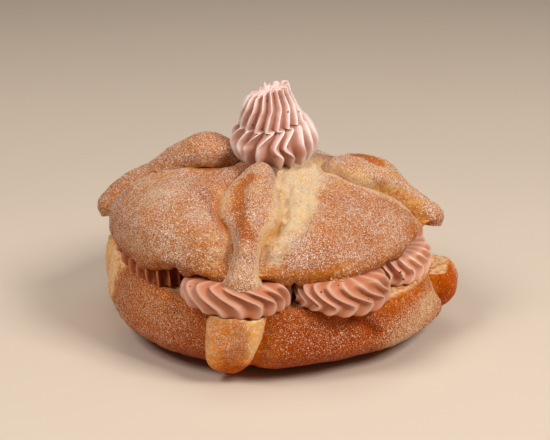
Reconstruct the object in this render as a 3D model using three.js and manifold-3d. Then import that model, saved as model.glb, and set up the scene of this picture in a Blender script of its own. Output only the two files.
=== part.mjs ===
// A filled pan de muerto: a sugared sweet bun split level, with dough bones laid across it,
// a ring of piped cream swirls between the halves and one tall swirl on the crown.
// Millimetres, +Z up. The origin is the middle of the flat underside, and -Y is the shown side.
import * as THREE from "three";
import { mergeVertices } from "three/addons/utils/BufferGeometryUtils.js";
import Module from "manifold-3d";

// Driving dimensions of the two halves
const baseRadius = 59.5; // widest reach of the lower half
const baseWidestAt = 10.5; // height of that widest reach
const footRadius = 41; // flat underside
const baseCut = 26.4; // height of the lower cut face at the centre
const baseCutTilt = 0.028; // the lower cut rises this much per millimetre towards -X
const creamGap = 8.6; // space that the filling holds open at the centre
const lidCut = baseCut + creamGap; // height of the upper half's cut underside
const lidRadius = 57; // widest reach of the upper half
const lidWidestAt = lidCut + 3; // height of that widest reach
const crownHeight = 61; // top of the bun under the crown swirl
const domeFullness = 3; // power of the dome's outline: 2 is an ellipse, more is fuller
const lidShift = -2.5; // the upper half sits this far off centre, along X
const cutEdge = 1.2; // rounding of the knife's edge
const clearance = 0.3; // gap kept between touching pieces

// The four bones meet at the crown, so their bearings are a quarter turn apart, or nearly.
// Each station of a bone is [reach from the crown, height of its crest, half its width].
// Bow is how far the middle of a bone strays to the right of its bearing, seen from the crown.
// Groove is how deep the bun is pressed in under the bone, and how far that reaches to each side.
// Fade is the reach from the crown over which that groove comes in.
const boneSink = 12; // depth of a bone's section, most of it pressed into the bun
const lidBones = {
  front: {
    bearing: -97,
    bow: 1.6,
    groove: [8.5, 12],
    fade: [4, 20],
    stations: [[7, 61, 2.6], [13, 62.2, 5], [24, 59.4, 8.8], [36, 55.8, 10.9], [43, 52.8, 8.8],
      [49, 49.8, 5.6], [54, 46, 4.5], [58, 40.8, 5.4], [60.5, 36.8, 6.8], [61, 33, 6.8]],
  },
  right: {
    bearing: -8,
    bow: 0,
    groove: [5, 9],
    fade: [14, 26],
    stations: [[12, 55, 2.4], [19, 58, 3.4], [24, 61.4, 6.4], [29, 62.8, 9.2], [36, 62.5, 10.2],
      [43, 60.6, 8.8], [48, 56.2, 6.4], [53.5, 51, 5.2], [58.5, 47, 5], [61.5, 45.2, 5.2],
      [63.4, 42.4, 5], [63, 38.5, 3.4]],
  },
  back: {
    bearing: 83,
    bow: -1,
    groove: [5, 9],
    fade: [4, 20],
    stations: [[8, 60.5, 2.6], [15, 63, 6.4], [26, 63, 10], [36, 59.5, 8.4], [44, 54.5, 5.8],
      [52, 49.4, 5.4], [59, 43.6, 6.4], [61.5, 38.5, 6.2], [61, 33, 6]],
  },
  left: {
    bearing: 172,
    bow: 0,
    groove: [5, 10],
    fade: [4, 20],
    stations: [[8, 62, 2.6], [14, 67, 7], [23, 69, 10.2], [33, 64.6, 8.4], [43, 57.4, 6.2],
      [52, 52.2, 5.8], [59, 46.6, 6.6], [62.8, 41.5, 6.2], [62, 36, 4.2]],
  },
};
const grooveRim = [46, 0.45]; // from this reach on the grooves lose this share of their depth

// What the knife left of each bone on the lower half, from the cut down.
// Each station is [depth below the cut, reach from the centre, half width].
// Lean is how far it stands to the right of its bearing at the cut, and how that changes with depth.
const baseBones = {
  front: {
    bearing: -102.5,
    lean: [0.7, -0.19],
    stations: [[1.5, 62, 10], [6.5, 63.4, 10.1], [11, 63.6, 9.7], [15, 62.8, 9], [18.5, 61, 7.9],
      [21.5, 58.5, 5.8], [23.3, 56, 3.4]],
  },
  right: {
    bearing: -10,
    lean: [0, -0.12],
    stations: [[0.9, 63, 9.4], [3, 65.4, 9.8], [6, 66.8, 9.8], [10, 66.6, 8.8], [13.5, 65, 6.4],
      [15.7, 62.4, 3.4]],
  },
  back: {
    bearing: 79,
    lean: [0, 0],
    stations: [[1.7, 62, 9], [6.5, 63.6, 9.2], [14, 63.4, 8.4], [20, 60.4, 6.2], [23, 57, 4]],
  },
  left: {
    bearing: 170,
    lean: [0, 0],
    stations: [[0, 61.5, 8.6], [7, 62.6, 9], [15, 62.4, 8.4], [21, 60, 6], [24, 57, 4]],
  },
};

// Dough swells between the bones, and sags a little between a lobe and the crown.
const lobes = [
  { bearing: -147, lidSwell: 1, lidSag: 4.6, baseSwell: 0.6 },
  { bearing: -52, lidSwell: -5, lidSag: 0, baseSwell: 0.2 },
  { bearing: 38, lidSwell: -6, lidSag: 3, baseSwell: 0 },
  { bearing: 128, lidSwell: -2, lidSag: 4, baseSwell: 0.4 },
];
const lobeSpread = 44; // degrees from a lobe's middle to where it has faded
const lobeFade = [20, 40]; // a lobe comes in over this reach from the crown
const lobeRise = 15; // and over this height above the lid's cut
const grooveRise = 9; // the same for the grooves
const sagReach = 23; // where the sag is deepest
const sagWidth = 9; // how far it spreads in and out from there

// Piped cream: ridges from a star nozzle. A swirl's profile is in shares of its radius and of the gap.
const swirlRidges = 18; // round each swirl of the ring
const middleRidges = 15;
const crownRidges = 17;
const swirlInner = 29.4; // where the swirls begin, from the centre
const swirlRidge = 2.6; // depth of the furrows
const swirlTwist = 14; // degrees that a squashed swirl's ridges bow
const swirlProfile = [[0.7, 0], [0.93, 0], [0.99, 0.16], [1, 0.42], [0.97, 0.7], [0.85, 1]];
const swirlDroop = 2.2; // how far a swirl hangs down past the lower rim
const droopSpan = [59.5, 64]; // and where that begins and ends, from the centre
const swirlBearings = [-104, -64, -25, 22, 68, 115, 161, -150];
const swirlReaches = [64.2, 64.2, 58.8, 57.6, 63, 63, 61, 57.8]; // where each one ends, from the centre
const swirlSides = [17.8, 15.8, 14.9, 16, 17, 17, 17, 17.4]; // half of each one's width along the ring
const middleRadius = 28;
const crownShift = 2.4; // the crown swirl stands off the lid's centre, along X
const crownBase = 59.5; // the crown swirl starts a little below the crown of the bun
const crownRidge = 2.8;
const crownFacing = -90; // bearing of the first ridge
const crownDrift = [-1.6, 8, 20]; // the upper tier strays this far along X, between these heights
const crownProfile = [[11, 0], [13.2, 1.6], [15, 4.6], [15.9, 8], [15.4, 11], [14.2, 13.2], [12.8, 14.8],
  [11.8, 15.6], [11.4, 17.4], [10.3, 20], [8.6, 23], [7.2, 25.2], [6, 27], [3.4, 28.6]];
const crownTiers = [4.8, 15, 24]; // heights of the lower tier's foot, the notch and the top, above the start
const crownLean = [24, 4]; // degrees that the ridges turn on the way up each tier

// Fineness
const bunSides = 60;
const domeSteps = 12;
const baseSteps = 10;
const boneSides = 16;
const boneSteps = 18;
const stubSteps = 8;
const swirlRidgeSides = 2;
const crownRidgeSides = 4;
const squareness = 0.72; // below 1 fills a bone's oval section out towards a rounded box

const wasm = await Module();
wasm.setup();

const radians = THREE.MathUtils.degToRad;
const smooth = THREE.MathUtils.smoothstep;
const upward = new THREE.Vector3(0, 0, 1);
const bearingOf = (p) => Math.atan2(p.y, p.x);
const fuller = (t) => Math.sign(t) * Math.abs(t) ** squareness;
const hill = (t) => Math.exp(-t * t);

// A level vector of unit length at a bearing.
function outwardAt(bearing) {
  return new THREE.Vector3(Math.cos(radians(bearing)), Math.sin(radians(bearing)), 0);
}

// Height of the lower cut face.
function baseCutAt(p) {
  return baseCut - baseCutTilt * p.x;
}

// The angle between two bearings, without sign, in radians.
function apart(a, b) {
  const d = Math.abs(a - b) % (2 * Math.PI);
  return Math.min(d, 2 * Math.PI - d);
}

// Moves every vertex of a closed geometry and welds it into a bare closed mesh.
function moulded(geometry, move) {
  geometry.deleteAttribute("normal");
  geometry.deleteAttribute("uv");
  const welded = mergeVertices(geometry, 1e-4);
  const places = welded.attributes.position;
  const point = new THREE.Vector3();
  for (let i = 0; i < places.count; i++) {
    move(point.fromBufferAttribute(places, i));
    places.setXYZ(i, point.x, point.y, point.z);
  }
  return welded;
}

// A lathe turns its profile about Y, so it is stood up to turn about Z.
function turned(profile, sides) {
  const points = profile.map(([reach, height]) => new THREE.Vector2(reach, height));
  return new THREE.LatheGeometry(points, sides).rotateX(Math.PI / 2);
}

function solidOf(geometry) {
  const vertProperties = new Float32Array(geometry.attributes.position.array);
  const triVerts = new Uint32Array(geometry.index.array);
  return new wasm.Manifold(new wasm.Mesh({ numProp: 3, vertProperties, triVerts }));
}

// The largest body of a solid, as a three.js geometry.
function geometryOf(solid) {
  const bodies = solid.decompose().sort((a, b) => b.volume() - a.volume());
  const mesh = bodies[0].getMesh();
  const geometry = new THREE.BufferGeometry();
  geometry.setAttribute("position", new THREE.BufferAttribute(mesh.vertProperties, 3));
  geometry.setIndex(new THREE.BufferAttribute(mesh.triVerts, 1));
  geometry.computeVertexNormals();
  return geometry;
}

// A smooth line through a few stations of three numbers each.
function through(stations, steps) {
  const points = stations.map((station) => new THREE.Vector3(...station));
  const line = new THREE.CatmullRomCurve3(points, false, "centripetal");
  return line.getPoints(steps).map((p) => p.toArray());
}

// A closed skin over a row of sections, each { centre, across, up } with across and up as half axes.
function lofted(sections, sides) {
  const rows = sections.length - 1;
  return moulded(new THREE.CylinderGeometry(1, 1, rows, sides, rows), (p) => {
    const { centre, across, up } = sections[Math.round(rows / 2 - p.y)];
    const { x, z } = p;
    p.copy(centre).addScaledVector(across, fuller(x)).addScaledVector(up, fuller(z));
  });
}

// A lobe's measure at a bearing, such as lidSwell, which fades out towards its neighbours.
function lobeAt(bearing, measure) {
  return lobes.reduce((sum, lobe) => {
    const t = apart(bearing, radians(lobe.bearing)) / radians(lobeSpread);
    return sum + Math.max(0, 1 - t * t) * lobe[measure];
  }, 0);
}

// Depth of the grooves pressed into the lid under the bones.
function grooveAt(p) {
  const reach = Math.hypot(p.x, p.y);
  const [rim, loss] = grooveRim;
  const kept = 1 - loss * smooth(reach, rim, lidRadius);
  const depths = Object.values(lidBones).map(({ bearing, groove: [depth, width], fade }) => {
    const turn = Math.min(apart(bearingOf(p), radians(bearing)), Math.PI / 2);
    return depth * kept * smooth(reach, ...fade) * hill((reach * Math.sin(turn)) / width);
  });
  return Math.max(...depths);
}

// The upper half: a flat cut face, a knife edge, then a full dome. Grown makes it larger all over.
function lidGeometry(grown = 0) {
  const reach = lidRadius + grown;
  const rise = crownHeight + grown - lidWidestAt;
  const cut = lidCut - grown;
  const rim = reach - 1;
  const profile = [[0, cut], [rim - cutEdge, cut], [rim, cut + cutEdge]];
  for (let i = 0; i < domeSteps; i++) {
    const turn = ((i / domeSteps) * Math.PI) / 2;
    profile.push([reach * Math.cos(turn) ** (2 / domeFullness), lidWidestAt + rise * Math.sin(turn)]);
  }
  profile.push([0, lidWidestAt + rise]);
  const middle = new THREE.Vector3(0, 0, cut);
  return moulded(turned(profile, bunSides), (p) => {
    const away = p.clone().sub(middle);
    const distance = away.length();
    if (distance === 0) return;
    const out = Math.hypot(p.x, p.y);
    const lobeShare = smooth(out, ...lobeFade) * smooth(p.z, lidCut, lidCut + lobeRise);
    const lobe = lobeAt(bearingOf(p), "lidSwell") * lobeShare;
    const sag = lobeAt(bearingOf(p), "lidSag") * hill((out - sagReach) / sagWidth);
    const pressed = grooveAt(p) * smooth(p.z, lidCut, lidCut + grooveRise);
    p.addScaledVector(away, (lobe - Math.max(pressed, sag)) / distance);
  });
}

// The lower half: flat foot, a full round side and a cut face that leans a little.
function baseGeometry(grown = 0) {
  const reach = baseRadius + grown;
  const top = baseCut + grown;
  const rim = reach * 0.975;
  const side = new THREE.SplineCurve([
    new THREE.Vector2(footRadius + grown, 0),
    new THREE.Vector2(reach * 0.9, baseWidestAt * 0.42),
    new THREE.Vector2(reach, baseWidestAt),
    new THREE.Vector2(reach * 0.995, (baseWidestAt + top) / 2),
    new THREE.Vector2(rim, top - cutEdge),
    new THREE.Vector2(rim - cutEdge, top),
  ]);
  const profile = [[0, 0], ...side.getPoints(baseSteps).map((p) => p.toArray()), [0, top]];
  return moulded(turned(profile, bunSides), (p) => {
    const share = 1 + (lobeAt(bearingOf(p), "baseSwell") * smooth(p.z, 0, baseWidestAt)) / reach;
    p.x *= share;
    p.y *= share;
    p.z *= baseCutAt(p) / baseCut;
  });
}

// A lid bone: sections along its crest, in the upright plane of its bearing.
function lidBoneGeometry({ bearing, bow, stations }, grown = 0) {
  const line = through(stations, boneSteps);
  const outward = outwardAt(bearing);
  const side = upward.clone().cross(outward);
  const sections = line.map(([reach, crest, half], i) => {
    const [r0, z0] = line[Math.max(0, i - 1)];
    const [r1, z1] = line[Math.min(line.length - 1, i + 1)];
    const along = outward.clone().multiplyScalar(r1 - r0).setZ(z1 - z0).normalize();
    const up = new THREE.Vector3().crossVectors(along, side);
    const stray = -bow * Math.sin((Math.PI * reach) / lidRadius);
    const centre = outward.clone().multiplyScalar(reach).setZ(crest);
    return {
      centre: centre.addScaledVector(up, -boneSink / 2).addScaledVector(side, stray),
      across: side.clone().multiplyScalar(half + grown),
      up: up.clone().multiplyScalar(boneSink / 2 + grown),
    };
  });
  return lofted(sections, boneSides);
}

// A bone's stub on the lower half: level sections from the cut down.
function baseBoneGeometry({ bearing, lean: [lean, slant], stations }) {
  const outward = outwardAt(bearing);
  const side = upward.clone().cross(outward);
  const top = baseCutAt(outward.clone().multiplyScalar(baseRadius));
  const sections = through(stations, stubSteps).map(([depth, reach, half]) => ({
    centre: outward.clone().multiplyScalar(reach - boneSink).setZ(top - depth)
      .addScaledVector(side, lean + slant * depth),
    across: side.clone().multiplyScalar(half),
    up: outward.clone().multiplyScalar(boneSink),
  }));
  return lofted(sections, boneSides);
}

// Piped cream: a turned profile drawn into sharp ridges. Turn gives a ridge's angle at a height.
function pipedGeometry(profile, ridges, depth, sidesPerRidge, turn) {
  const widest = Math.max(...profile.map(([r]) => r));
  const closed = [[0, profile[0][1]], ...profile, [0, profile[profile.length - 1][1]]];
  return moulded(turned(closed, ridges * sidesPerRidge), (p) => {
    const r = Math.hypot(p.x, p.y);
    const furrow = Math.abs(Math.sin((ridges * bearingOf(p)) / 2));
    const drawn = r - (depth * furrow * r) / widest;
    const lean = bearingOf(p) + radians(turn(p.z));
    p.x = drawn * Math.cos(lean);
    p.y = drawn * Math.sin(lean);
  });
}

// A swirl squashed between the halves. Wedge widens it outwards, as its place in the ring does.
function squashedSwirl(radius, side, bearing, ring, wedge, ridges) {
  const profile = swirlProfile.map(([share, height]) => [share * radius, height]);
  const bow = (height) => swirlTwist * Math.sin(height * Math.PI);
  const middle = outwardAt(bearing).multiplyScalar(ring);
  return moulded(pipedGeometry(profile, ridges, swirlRidge, swirlRidgeSides, bow), (p) => {
    p.y *= (side / radius) * (1 + wedge * p.x);
    p.applyAxisAngle(upward, radians(bearing)).add(middle);
    const droop = swirlDroop * smooth(Math.hypot(p.x, p.y), ...droopSpan);
    const low = baseCutAt(p) + clearance - droop;
    p.z = THREE.MathUtils.lerp(low, lidCut - clearance, p.z);
  });
}

// The crown swirl, in two tiers whose ridges lean different ways.
function crownSwirlGeometry() {
  const [foot, notch, top] = crownTiers;
  const [lower, upper] = crownLean;
  const [drift, from, to] = crownDrift;
  const turn = (height) => {
    const below = lower * (smooth(height, foot, notch) - 1);
    return crownFacing + below + upper * smooth(height, notch, top);
  };
  const piped = pipedGeometry(crownProfile, crownRidges, crownRidge, crownRidgeSides, turn);
  return moulded(piped, (p) => {
    p.x += crownShift + drift * smooth(p.z, from, to);
    p.z += crownBase;
  });
}

const crust = new THREE.MeshStandardMaterial({ color: 0xc88f5e, roughness: 0.75, metalness: 0 });
const paleCrust = new THREE.MeshStandardMaterial({ color: 0xd39b67, roughness: 0.75, metalness: 0 });
const cream = new THREE.MeshStandardMaterial({ color: 0xd3a08b, roughness: 0.5, metalness: 0 });

const bun = new THREE.Group();
const baseHalf = new THREE.Group();
const filling = new THREE.Group();
const lidHalf = new THREE.Group();
lidHalf.position.x = lidShift;
bun.add(baseHalf, filling, lidHalf);

function add(group, name, geometry, material) {
  const mesh = new THREE.Mesh(geometry, material);
  mesh.name = name;
  group.add(mesh);
}

// Lower half with its stubs
add(baseHalf, "bread_base", geometryOf(solidOf(baseGeometry())), crust);
const baseGrown = solidOf(baseGeometry(clearance));
for (const [place, bone] of Object.entries(baseBones)) {
  const stub = solidOf(baseBoneGeometry(bone)).subtract(baseGrown);
  add(baseHalf, `bone_base_${place}`, geometryOf(stub), paleCrust);
}

// Filling: a ring of swirls round a wide middle one
swirlBearings.forEach((bearing, i) => {
  const ring = (swirlReaches[i] + swirlInner) / 2;
  const swirl = squashedSwirl(ring - swirlInner, swirlSides[i], bearing, ring, 1 / ring, swirlRidges);
  add(filling, `cream_swirl_${i + 1}`, swirl, cream);
});
const middle = squashedSwirl(middleRadius, middleRadius, 0, 0, 0, middleRidges);
add(filling, "cream_middle", middle, cream);

// Upper half with its bones and the crown swirl, which is shaped round what it sits on
add(lidHalf, "bread_lid", geometryOf(solidOf(lidGeometry())), crust);
const lidGrown = solidOf(lidGeometry(clearance));
const belowCut = new THREE.BoxGeometry(4 * lidRadius, 4 * lidRadius, lidCut).translate(0, 0, lidCut / 2);
const knife = solidOf(moulded(belowCut, () => {}));
let crownSwirl = solidOf(crownSwirlGeometry()).subtract(lidGrown);
for (const [place, bone] of Object.entries(lidBones)) {
  const shaped = solidOf(lidBoneGeometry(bone)).subtract(lidGrown).subtract(knife);
  add(lidHalf, `bone_lid_${place}`, geometryOf(shaped), paleCrust);
  crownSwirl = crownSwirl.subtract(solidOf(lidBoneGeometry(bone, clearance)));
}
add(lidHalf, "cream_crown", geometryOf(crownSwirl), cream);

export default bun;
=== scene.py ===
import math
from types import SimpleNamespace

import bpy
import numpy as np
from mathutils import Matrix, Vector


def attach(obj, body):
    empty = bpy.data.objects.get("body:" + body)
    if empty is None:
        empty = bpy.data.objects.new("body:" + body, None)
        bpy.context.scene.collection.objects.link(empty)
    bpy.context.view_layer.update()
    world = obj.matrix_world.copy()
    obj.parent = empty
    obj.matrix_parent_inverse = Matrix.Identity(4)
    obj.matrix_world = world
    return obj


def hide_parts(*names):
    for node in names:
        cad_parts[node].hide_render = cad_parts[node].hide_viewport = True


# Looks of a filled pan de muerto: a sugared sweet bun split level, with dough bones laid across it,
# a ring of piped cream between the halves and one tall swirl on the crown.
# Lengths are millimetres until a mesh is made. +Z is up, and -Y is the shown side.
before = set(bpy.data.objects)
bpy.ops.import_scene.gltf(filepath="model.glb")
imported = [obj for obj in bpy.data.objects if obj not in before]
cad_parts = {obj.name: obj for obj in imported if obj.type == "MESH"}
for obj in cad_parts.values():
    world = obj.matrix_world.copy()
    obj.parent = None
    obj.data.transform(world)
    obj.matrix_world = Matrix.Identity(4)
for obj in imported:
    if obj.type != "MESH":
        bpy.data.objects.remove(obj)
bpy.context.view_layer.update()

# In all that follows, a span is where something starts and where it is complete, layers of lumps are
# (height, size, seed), and a form's tone, pale, bare and coat say how much browner, paler, less sugared
# or more sugared it is; where said, a tone is painted shade instead of browning. Ragged is how much lumps
# disturb its edge, and rise and across are spans above what it lies on and to the right of its middle.

MM = 0.001
FULL_TURN = 360.0
UP = np.array((0.0, 0.0, 1.0))
TINY = 1e-9  # keeps a division from failing
MIDDLE_GAP = 1e-6  # and does so at the middle of the cut face

# The two halves, as in the CAD
BASE_RADIUS = 59.5
BASE_WIDEST_AT = 10.5
BASE_FLARE = (0.9, 0.42)  # shares of the radius and of the widest place's height, above the foot
BASE_UPPER_SHARE = 0.995
BASE_RIM_SHARE = 0.975
FOOT_RADIUS = 41.0
BASE_CUT = 26.4
BASE_CUT_TILT = 0.028
CREAM_GAP = 8.6
LID_CUT = BASE_CUT + CREAM_GAP
LID_RADIUS = 57.0
LID_WIDEST_AT = LID_CUT + 3.0
CROWN_HEIGHT = 61.0
DOME_FULLNESS = 3.0
LID_SHIFT = -2.5
CUT_EDGE = 1.2
CLEARANCE = 0.3
RIM_INSET = 1.0
HUB_RADIUS = 2.0  # the small round that closes the middle of each face

# The bones: stations are (reach from the crown, height of the crest, half the width),
# and sway is (reach, how far the bone strays to the right of its bearing)
BONE_SINK = 12.0
SQUARENESS = 0.72
TOP_ROUNDNESS = 0.92
STRAIGHT = ((0, 0), (60, 0))
BACK_SWAY = ((0, 0), (14, 0.7), (28, 1), (43, 0.7), (57, 0), (62, -0.3))
FRONT_SWAY = ((7, -0.1), (15, -1.2), (25, -2.5), (36, -1.7), (44, -0.8), (52, -0.4), (61, -0.9))
LID_BONES = {
    "front": dict(bearing=-97.0, sway=FRONT_SWAY, groove=(8.5, 12.0), fade=(4, 20), stations=(
        (7, 61, 2.8), (13, 62.2, 5.2), (24, 59.4, 9.2), (31, 57.4, 10.8), (36, 55.8, 11.2), (40.5, 54, 9.6),
        (45, 51.8, 6.3), (50, 49, 4.5), (54, 46, 4.2), (58, 40.8, 5.2), (60.5, 36.8, 6.4), (61, 33, 6.6))),
    "right": dict(bearing=-8.0, sway=STRAIGHT, groove=(5.0, 9.0), fade=(14, 26), stations=(
        (12, 55, 2.4), (19, 58, 3.4), (24, 61.4, 6.4), (29, 62.8, 9.2), (36, 62.5, 10.2),
        (43, 60.6, 8.8), (48, 56.2, 6.4), (53.5, 51, 5.2), (58.5, 47, 5), (61.5, 45.2, 5.2),
        (63.4, 42.4, 5), (63, 38.5, 3.4))),
    "back": dict(bearing=83.0, sway=BACK_SWAY, groove=(5.0, 9.0), fade=(4, 20), stations=(
        (8, 60.5, 2.6), (15, 63, 6.4), (26, 63, 10), (36, 59.5, 8.4), (44, 54.5, 5.8),
        (52, 49.4, 5.4), (59, 43.6, 6.4), (61.5, 38.5, 6.2), (61, 33, 6))),
    "left": dict(bearing=172.0, sway=STRAIGHT, groove=(5.0, 10.0), fade=(4, 20), stations=(
        (8, 62, 2.6), (14, 67, 7), (23, 69, 10.2), (33, 64.6, 8.4), (43, 57.4, 6.2),
        (52, 52.2, 5.8), (59, 46.6, 6.6), (62.8, 41.5, 6.2), (62, 36, 4.2))),
}
STATION_STEP = 1e-4  # keeps a bone's reach rising where its end turns back
GROOVE_RIM = (46.0, 0.45)
GROOVE_RISE = 9.0

# What the knife left of each bone below: stations are (depth below the cut, reach, half the width),
# and lean is how far it stands to the right of its bearing at the cut, and how that changes with depth
BASE_BONES = {
    "front": dict(bearing=-102.5, lean=(1.2, -0.165), square=0.4, stations=(
        (1.5, 63.7, 9.4), (6.5, 64.3, 9.4), (11, 64.4, 9.0), (15, 64, 8.4), (18.5, 63, 7.6),
        (21, 61.6, 6.4), (22.8, 59.8, 4.2))),
    "right": dict(bearing=-10.0, lean=(0, -0.05), square=0.42, stations=(
        (0.9, 63.4, 9.6), (3, 65.4, 9.8), (6, 66.8, 9.6), (10, 66.4, 8.4), (13.5, 64.6, 6),
        (15.7, 62.4, 3.4))),
    "back": dict(bearing=79.0, lean=(0, 0), square=0.55, stations=(
        (1.7, 62, 9), (6.5, 63.6, 9.2), (14, 63.4, 8.4), (20, 60.4, 6.2), (23, 57, 4))),
    "left": dict(bearing=170.0, lean=(0, 0), square=0.55, stations=(
        (0, 61.5, 8.6), (7, 62.6, 9), (15, 62.4, 8.4), (21, 60, 6), (24, 57, 4))),
}
STUB_FOOT_ROUNDING = 1.2

# The dough between the bones
LOBES = (
    dict(bearing=-147.0, lid_swell=1.0, lid_sag=4.6, base_swell=0.6),
    dict(bearing=-52.0, lid_swell=-5.0, lid_sag=0.0, base_swell=0.2),
    dict(bearing=38.0, lid_swell=-6.0, lid_sag=3.0, base_swell=0.0),
    dict(bearing=128.0, lid_swell=-2.0, lid_sag=4.0, base_swell=0.4),
)
LOBE_SPREAD = 44.0
LOBE_FADE = (20.0, 40.0)
LOBE_RISE = 15.0
SAG_REACH = 23.0
SAG_WIDTH = 9.0

# The piped cream: profiles are (share of the radius, share of the gap), turns are (share, degrees)
SWIRL_DEPTH = 2.2
SWIRL_BLUNT = 0.16
SWIRL_INNER = 29.4
SWIRL_PROFILE = ((0.05, 0), (0.7, 0), (0.92, 0), (0.98, 0.1), (1, 0.34), (0.985, 0.66), (0.91, 0.94),
                 (0.84, 1), (0.05, 1))
SWIRL_DROOP = 2.2
DROOP_SPAN = (59.5, 64.0)
FURROW_FOOT = (0.3, 0.35)  # share of the depth at the bottom, and share of the gap where it is full
FURROW_TOP = (0.45, 0.75)  # share of the depth lost at the top, and share of the gap where that starts
FURROW_TAPER = 0.7
FURROW_UNEVEN = (0.18, 0.45)  # how much furrows differ, and how far round that changes, in radii
BOX_POWER = 3
EVEN_TURN = ((0, 0), (0.25, 10), (0.5, 14), (0.75, 10), (1, 0))
SLANTED_TURN = ((0, 16), (0.25, 12), (0.5, 2), (0.75, -10), (1, -16))
BENT_TURN = ((0, 4), (0.2, 12), (0.45, 14), (0.7, 4), (1, -20))
KINKED_TURN = ((0, 2), (0.15, 10), (0.35, 15), (0.5, 8), (0.75, -7), (1, -15))
BOWED_TURN = ((0, 2), (0.2, 8), (0.4, 10), (0.7, 0), (1, -12))
UPRIGHT_TURN = ((0, 3), (0.5, 0), (1, -3))
SWIRLS = (
    dict(bearing=-104.0, reach=64.2, side=17.8, ridges=21, boxy=0.0, turn=SLANTED_TURN,
         right_turn=BENT_TURN),
    dict(bearing=-64.0, reach=64.2, side=15.8, ridges=20, boxy=0.0, turn=KINKED_TURN),
    # this swirl takes the paler copy of the cream, painted with light
    dict(bearing=-25.0, reach=58.8, side=14.9, ridges=20, boxy=0.3, turn=BOWED_TURN, cream="lit"),
    dict(bearing=22.0, reach=57.6, side=16.0, ridges=20, boxy=0.0, turn=EVEN_TURN),
    dict(bearing=68.0, reach=63.0, side=17.0, ridges=20, boxy=0.0, turn=EVEN_TURN),
    dict(bearing=115.0, reach=63.0, side=17.0, ridges=20, boxy=0.0, turn=EVEN_TURN),
    dict(bearing=161.0, reach=61.0, side=17.0, ridges=20, boxy=0.0, turn=EVEN_TURN),
    # this swirl takes the darker copy of the cream, painted with the shade under the lid
    dict(bearing=-150.0, reach=57.8, side=17.4, ridges=24, boxy=1.0, turn=UPRIGHT_TURN, cream="shaded"),
)
RIGHT_SPAN = (-25, 30)  # degrees round a swirl over which it takes its right turn
UPRIGHT_SPAN = (10, 75)  # and over which its ridges stand up
SLANT_SPAN = (120, 180)  # and slant again
UPRIGHT_SHARE = 0.85
MIDDLE_RADIUS = 28.0
MIDDLE = dict(bearing=0.0, side=MIDDLE_RADIUS, ridges=15, boxy=0.0, turn=EVEN_TURN)
CREAM_SMEAR = ((0.16, 5), (0.07, 1.6))  # layers of lumps, with a seed for each swirl
SWIRL_SEED = 50
CROWN_SEED = 61

# The crown swirl: profile is (radius, height above its start), drift is (height, way along X)
CROWN_RIDGES = 17
CROWN_DEPTH = 4.4
CROWN_BLUNT = 0.09
CROWN_FACING = -90.0
CROWN_BASE = 59.5
CROWN_PROFILE = ((11, 0), (13.2, 1.6), (15, 4.6), (15.9, 8), (15.4, 11), (14.2, 13.2), (12.9, 14.7),
                 (11.9, 15.1), (11.7, 15.8), (11.4, 17.2), (10.7, 19), (9.7, 21), (8.6, 23), (7.6, 24.8),
                 (6.9, 26.4), (6.2, 28.6), (5, 29.4), (3, 29.6), (0.4, 29.6))
CROWN_DRIFT = ((0, 0.2), (8, 0.2), (15, -0.85), (20, -1.6), (23, -1.5), (26, -1.0), (30, -0.7))
CROWN_FOOT = 4.8
CROWN_WAIST = 9.3
CROWN_LEDGE = 15.1
# Degrees that each ridge seen from the front is turned at the foot, the waist and the ledge, from the left
CROWN_SLANTS = ((-10, -15, -6), (-26, -23, -2), (-26, -23, 3), (-10, -20, 1), (-14, -28, -2),
                (-16, -21, -8), (-24, -25, -10))
FIRST_SLANT = -2
USUAL_SLANT = (-18, -23, -6)
SLANT_MARGIN = 1.5  # ridges past the seen ones where the slant is the usual one again
CROWN_SWAY = ((15.1, -11), (16.5, -8), (19, -1), (21.5, 6), (24.3, 3), (26.5, -2), (30, -3))
CROWN_LEDGE_TILT = (0.11, 0.13, 7.0)  # rise along X and along Y, and the height over which it fades
CROWN_TEAR = (86.2, 0.33)  # height of the torn top at the middle, and its rise along X
CROWN_PEAKS = ((-3.3, 2.5, 2.6, 0.7), (0.4, 3.0, 1.3, 1.4), (3.4, 1.5, 0.9, 1.3))  # x, y, height, width
CROWN_TATTERS = ((0.7, 1.8, 63), (0.5, 0.9, 64))
TORN_BAND = 0.6
TORN_CREST = 0.75

# Forms on the upper half: lines are (reach from the crown, bearing), and the valley has half widths too
VALLEY = ((11, -42, 9.0), (17, -52, 9.0), (27.5, -66, 9.0), (38, -74, 8.2), (44, -78.5, 7.6),
          (48, -82.5, 7.2), (52, -85.5, 6.2), (55, -87.5, 4.6))
VALLEY_FADE = (0.55, 1.35)
VALLEY_EDGE = ((0.16, 5, 11), (0.1, 2, 12))
VALLEY_SINK = (0.5, 1.0)  # how deep it lies, and how much deeper towards the rim
VALLEY_SINK_SPAN = (34, 44)
VALLEY_FILL = 2.6  # the dough that fills it beside the crown
VALLEY_FILL_FADE = (16, 32)
FOLD_HEIGHT = 1.3
FOLDS = ((0.8, 5.2, 4), (0.6, 2.6, 5), (0.3, 1.3, 6))
FOLD_SINK = 0.4
FOLD_FADE = (42, 50)
FOLD_LOSS = 0.75
LOBE_FORMS = {
    "crease": dict(line=((30, -131), (36, -120), (41, -114), (49, -105.5)), width=2.2, height=-1.0,
                   tone=0.0),
    "swelling": dict(line=((43, -143), (39, -137), (38, -131)), width=5.0, height=0.8, tone=-0.2),
    # the hollow's tone is painted shade in it
    "hollow": dict(line=((36.8, -127), (40, -117.5), (42.5, -112.5)), width=4.5, height=-0.9, tone=0.5),
}
LID_DOUGH = ((0.8, 17, 1), (0.5, 8, 2), (0.25, 3.6, 18), (0.14, 1.7, 3))
LID_TORN = ((0.45, 1.6, 6), (0.3, 0.8, 7))
PINCH_START = 0.5  # the dough is pinched in beside the front bone, from this far out
PINCH_WIDTH = 2.6
PINCH_DEPTH = 2.2
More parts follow.
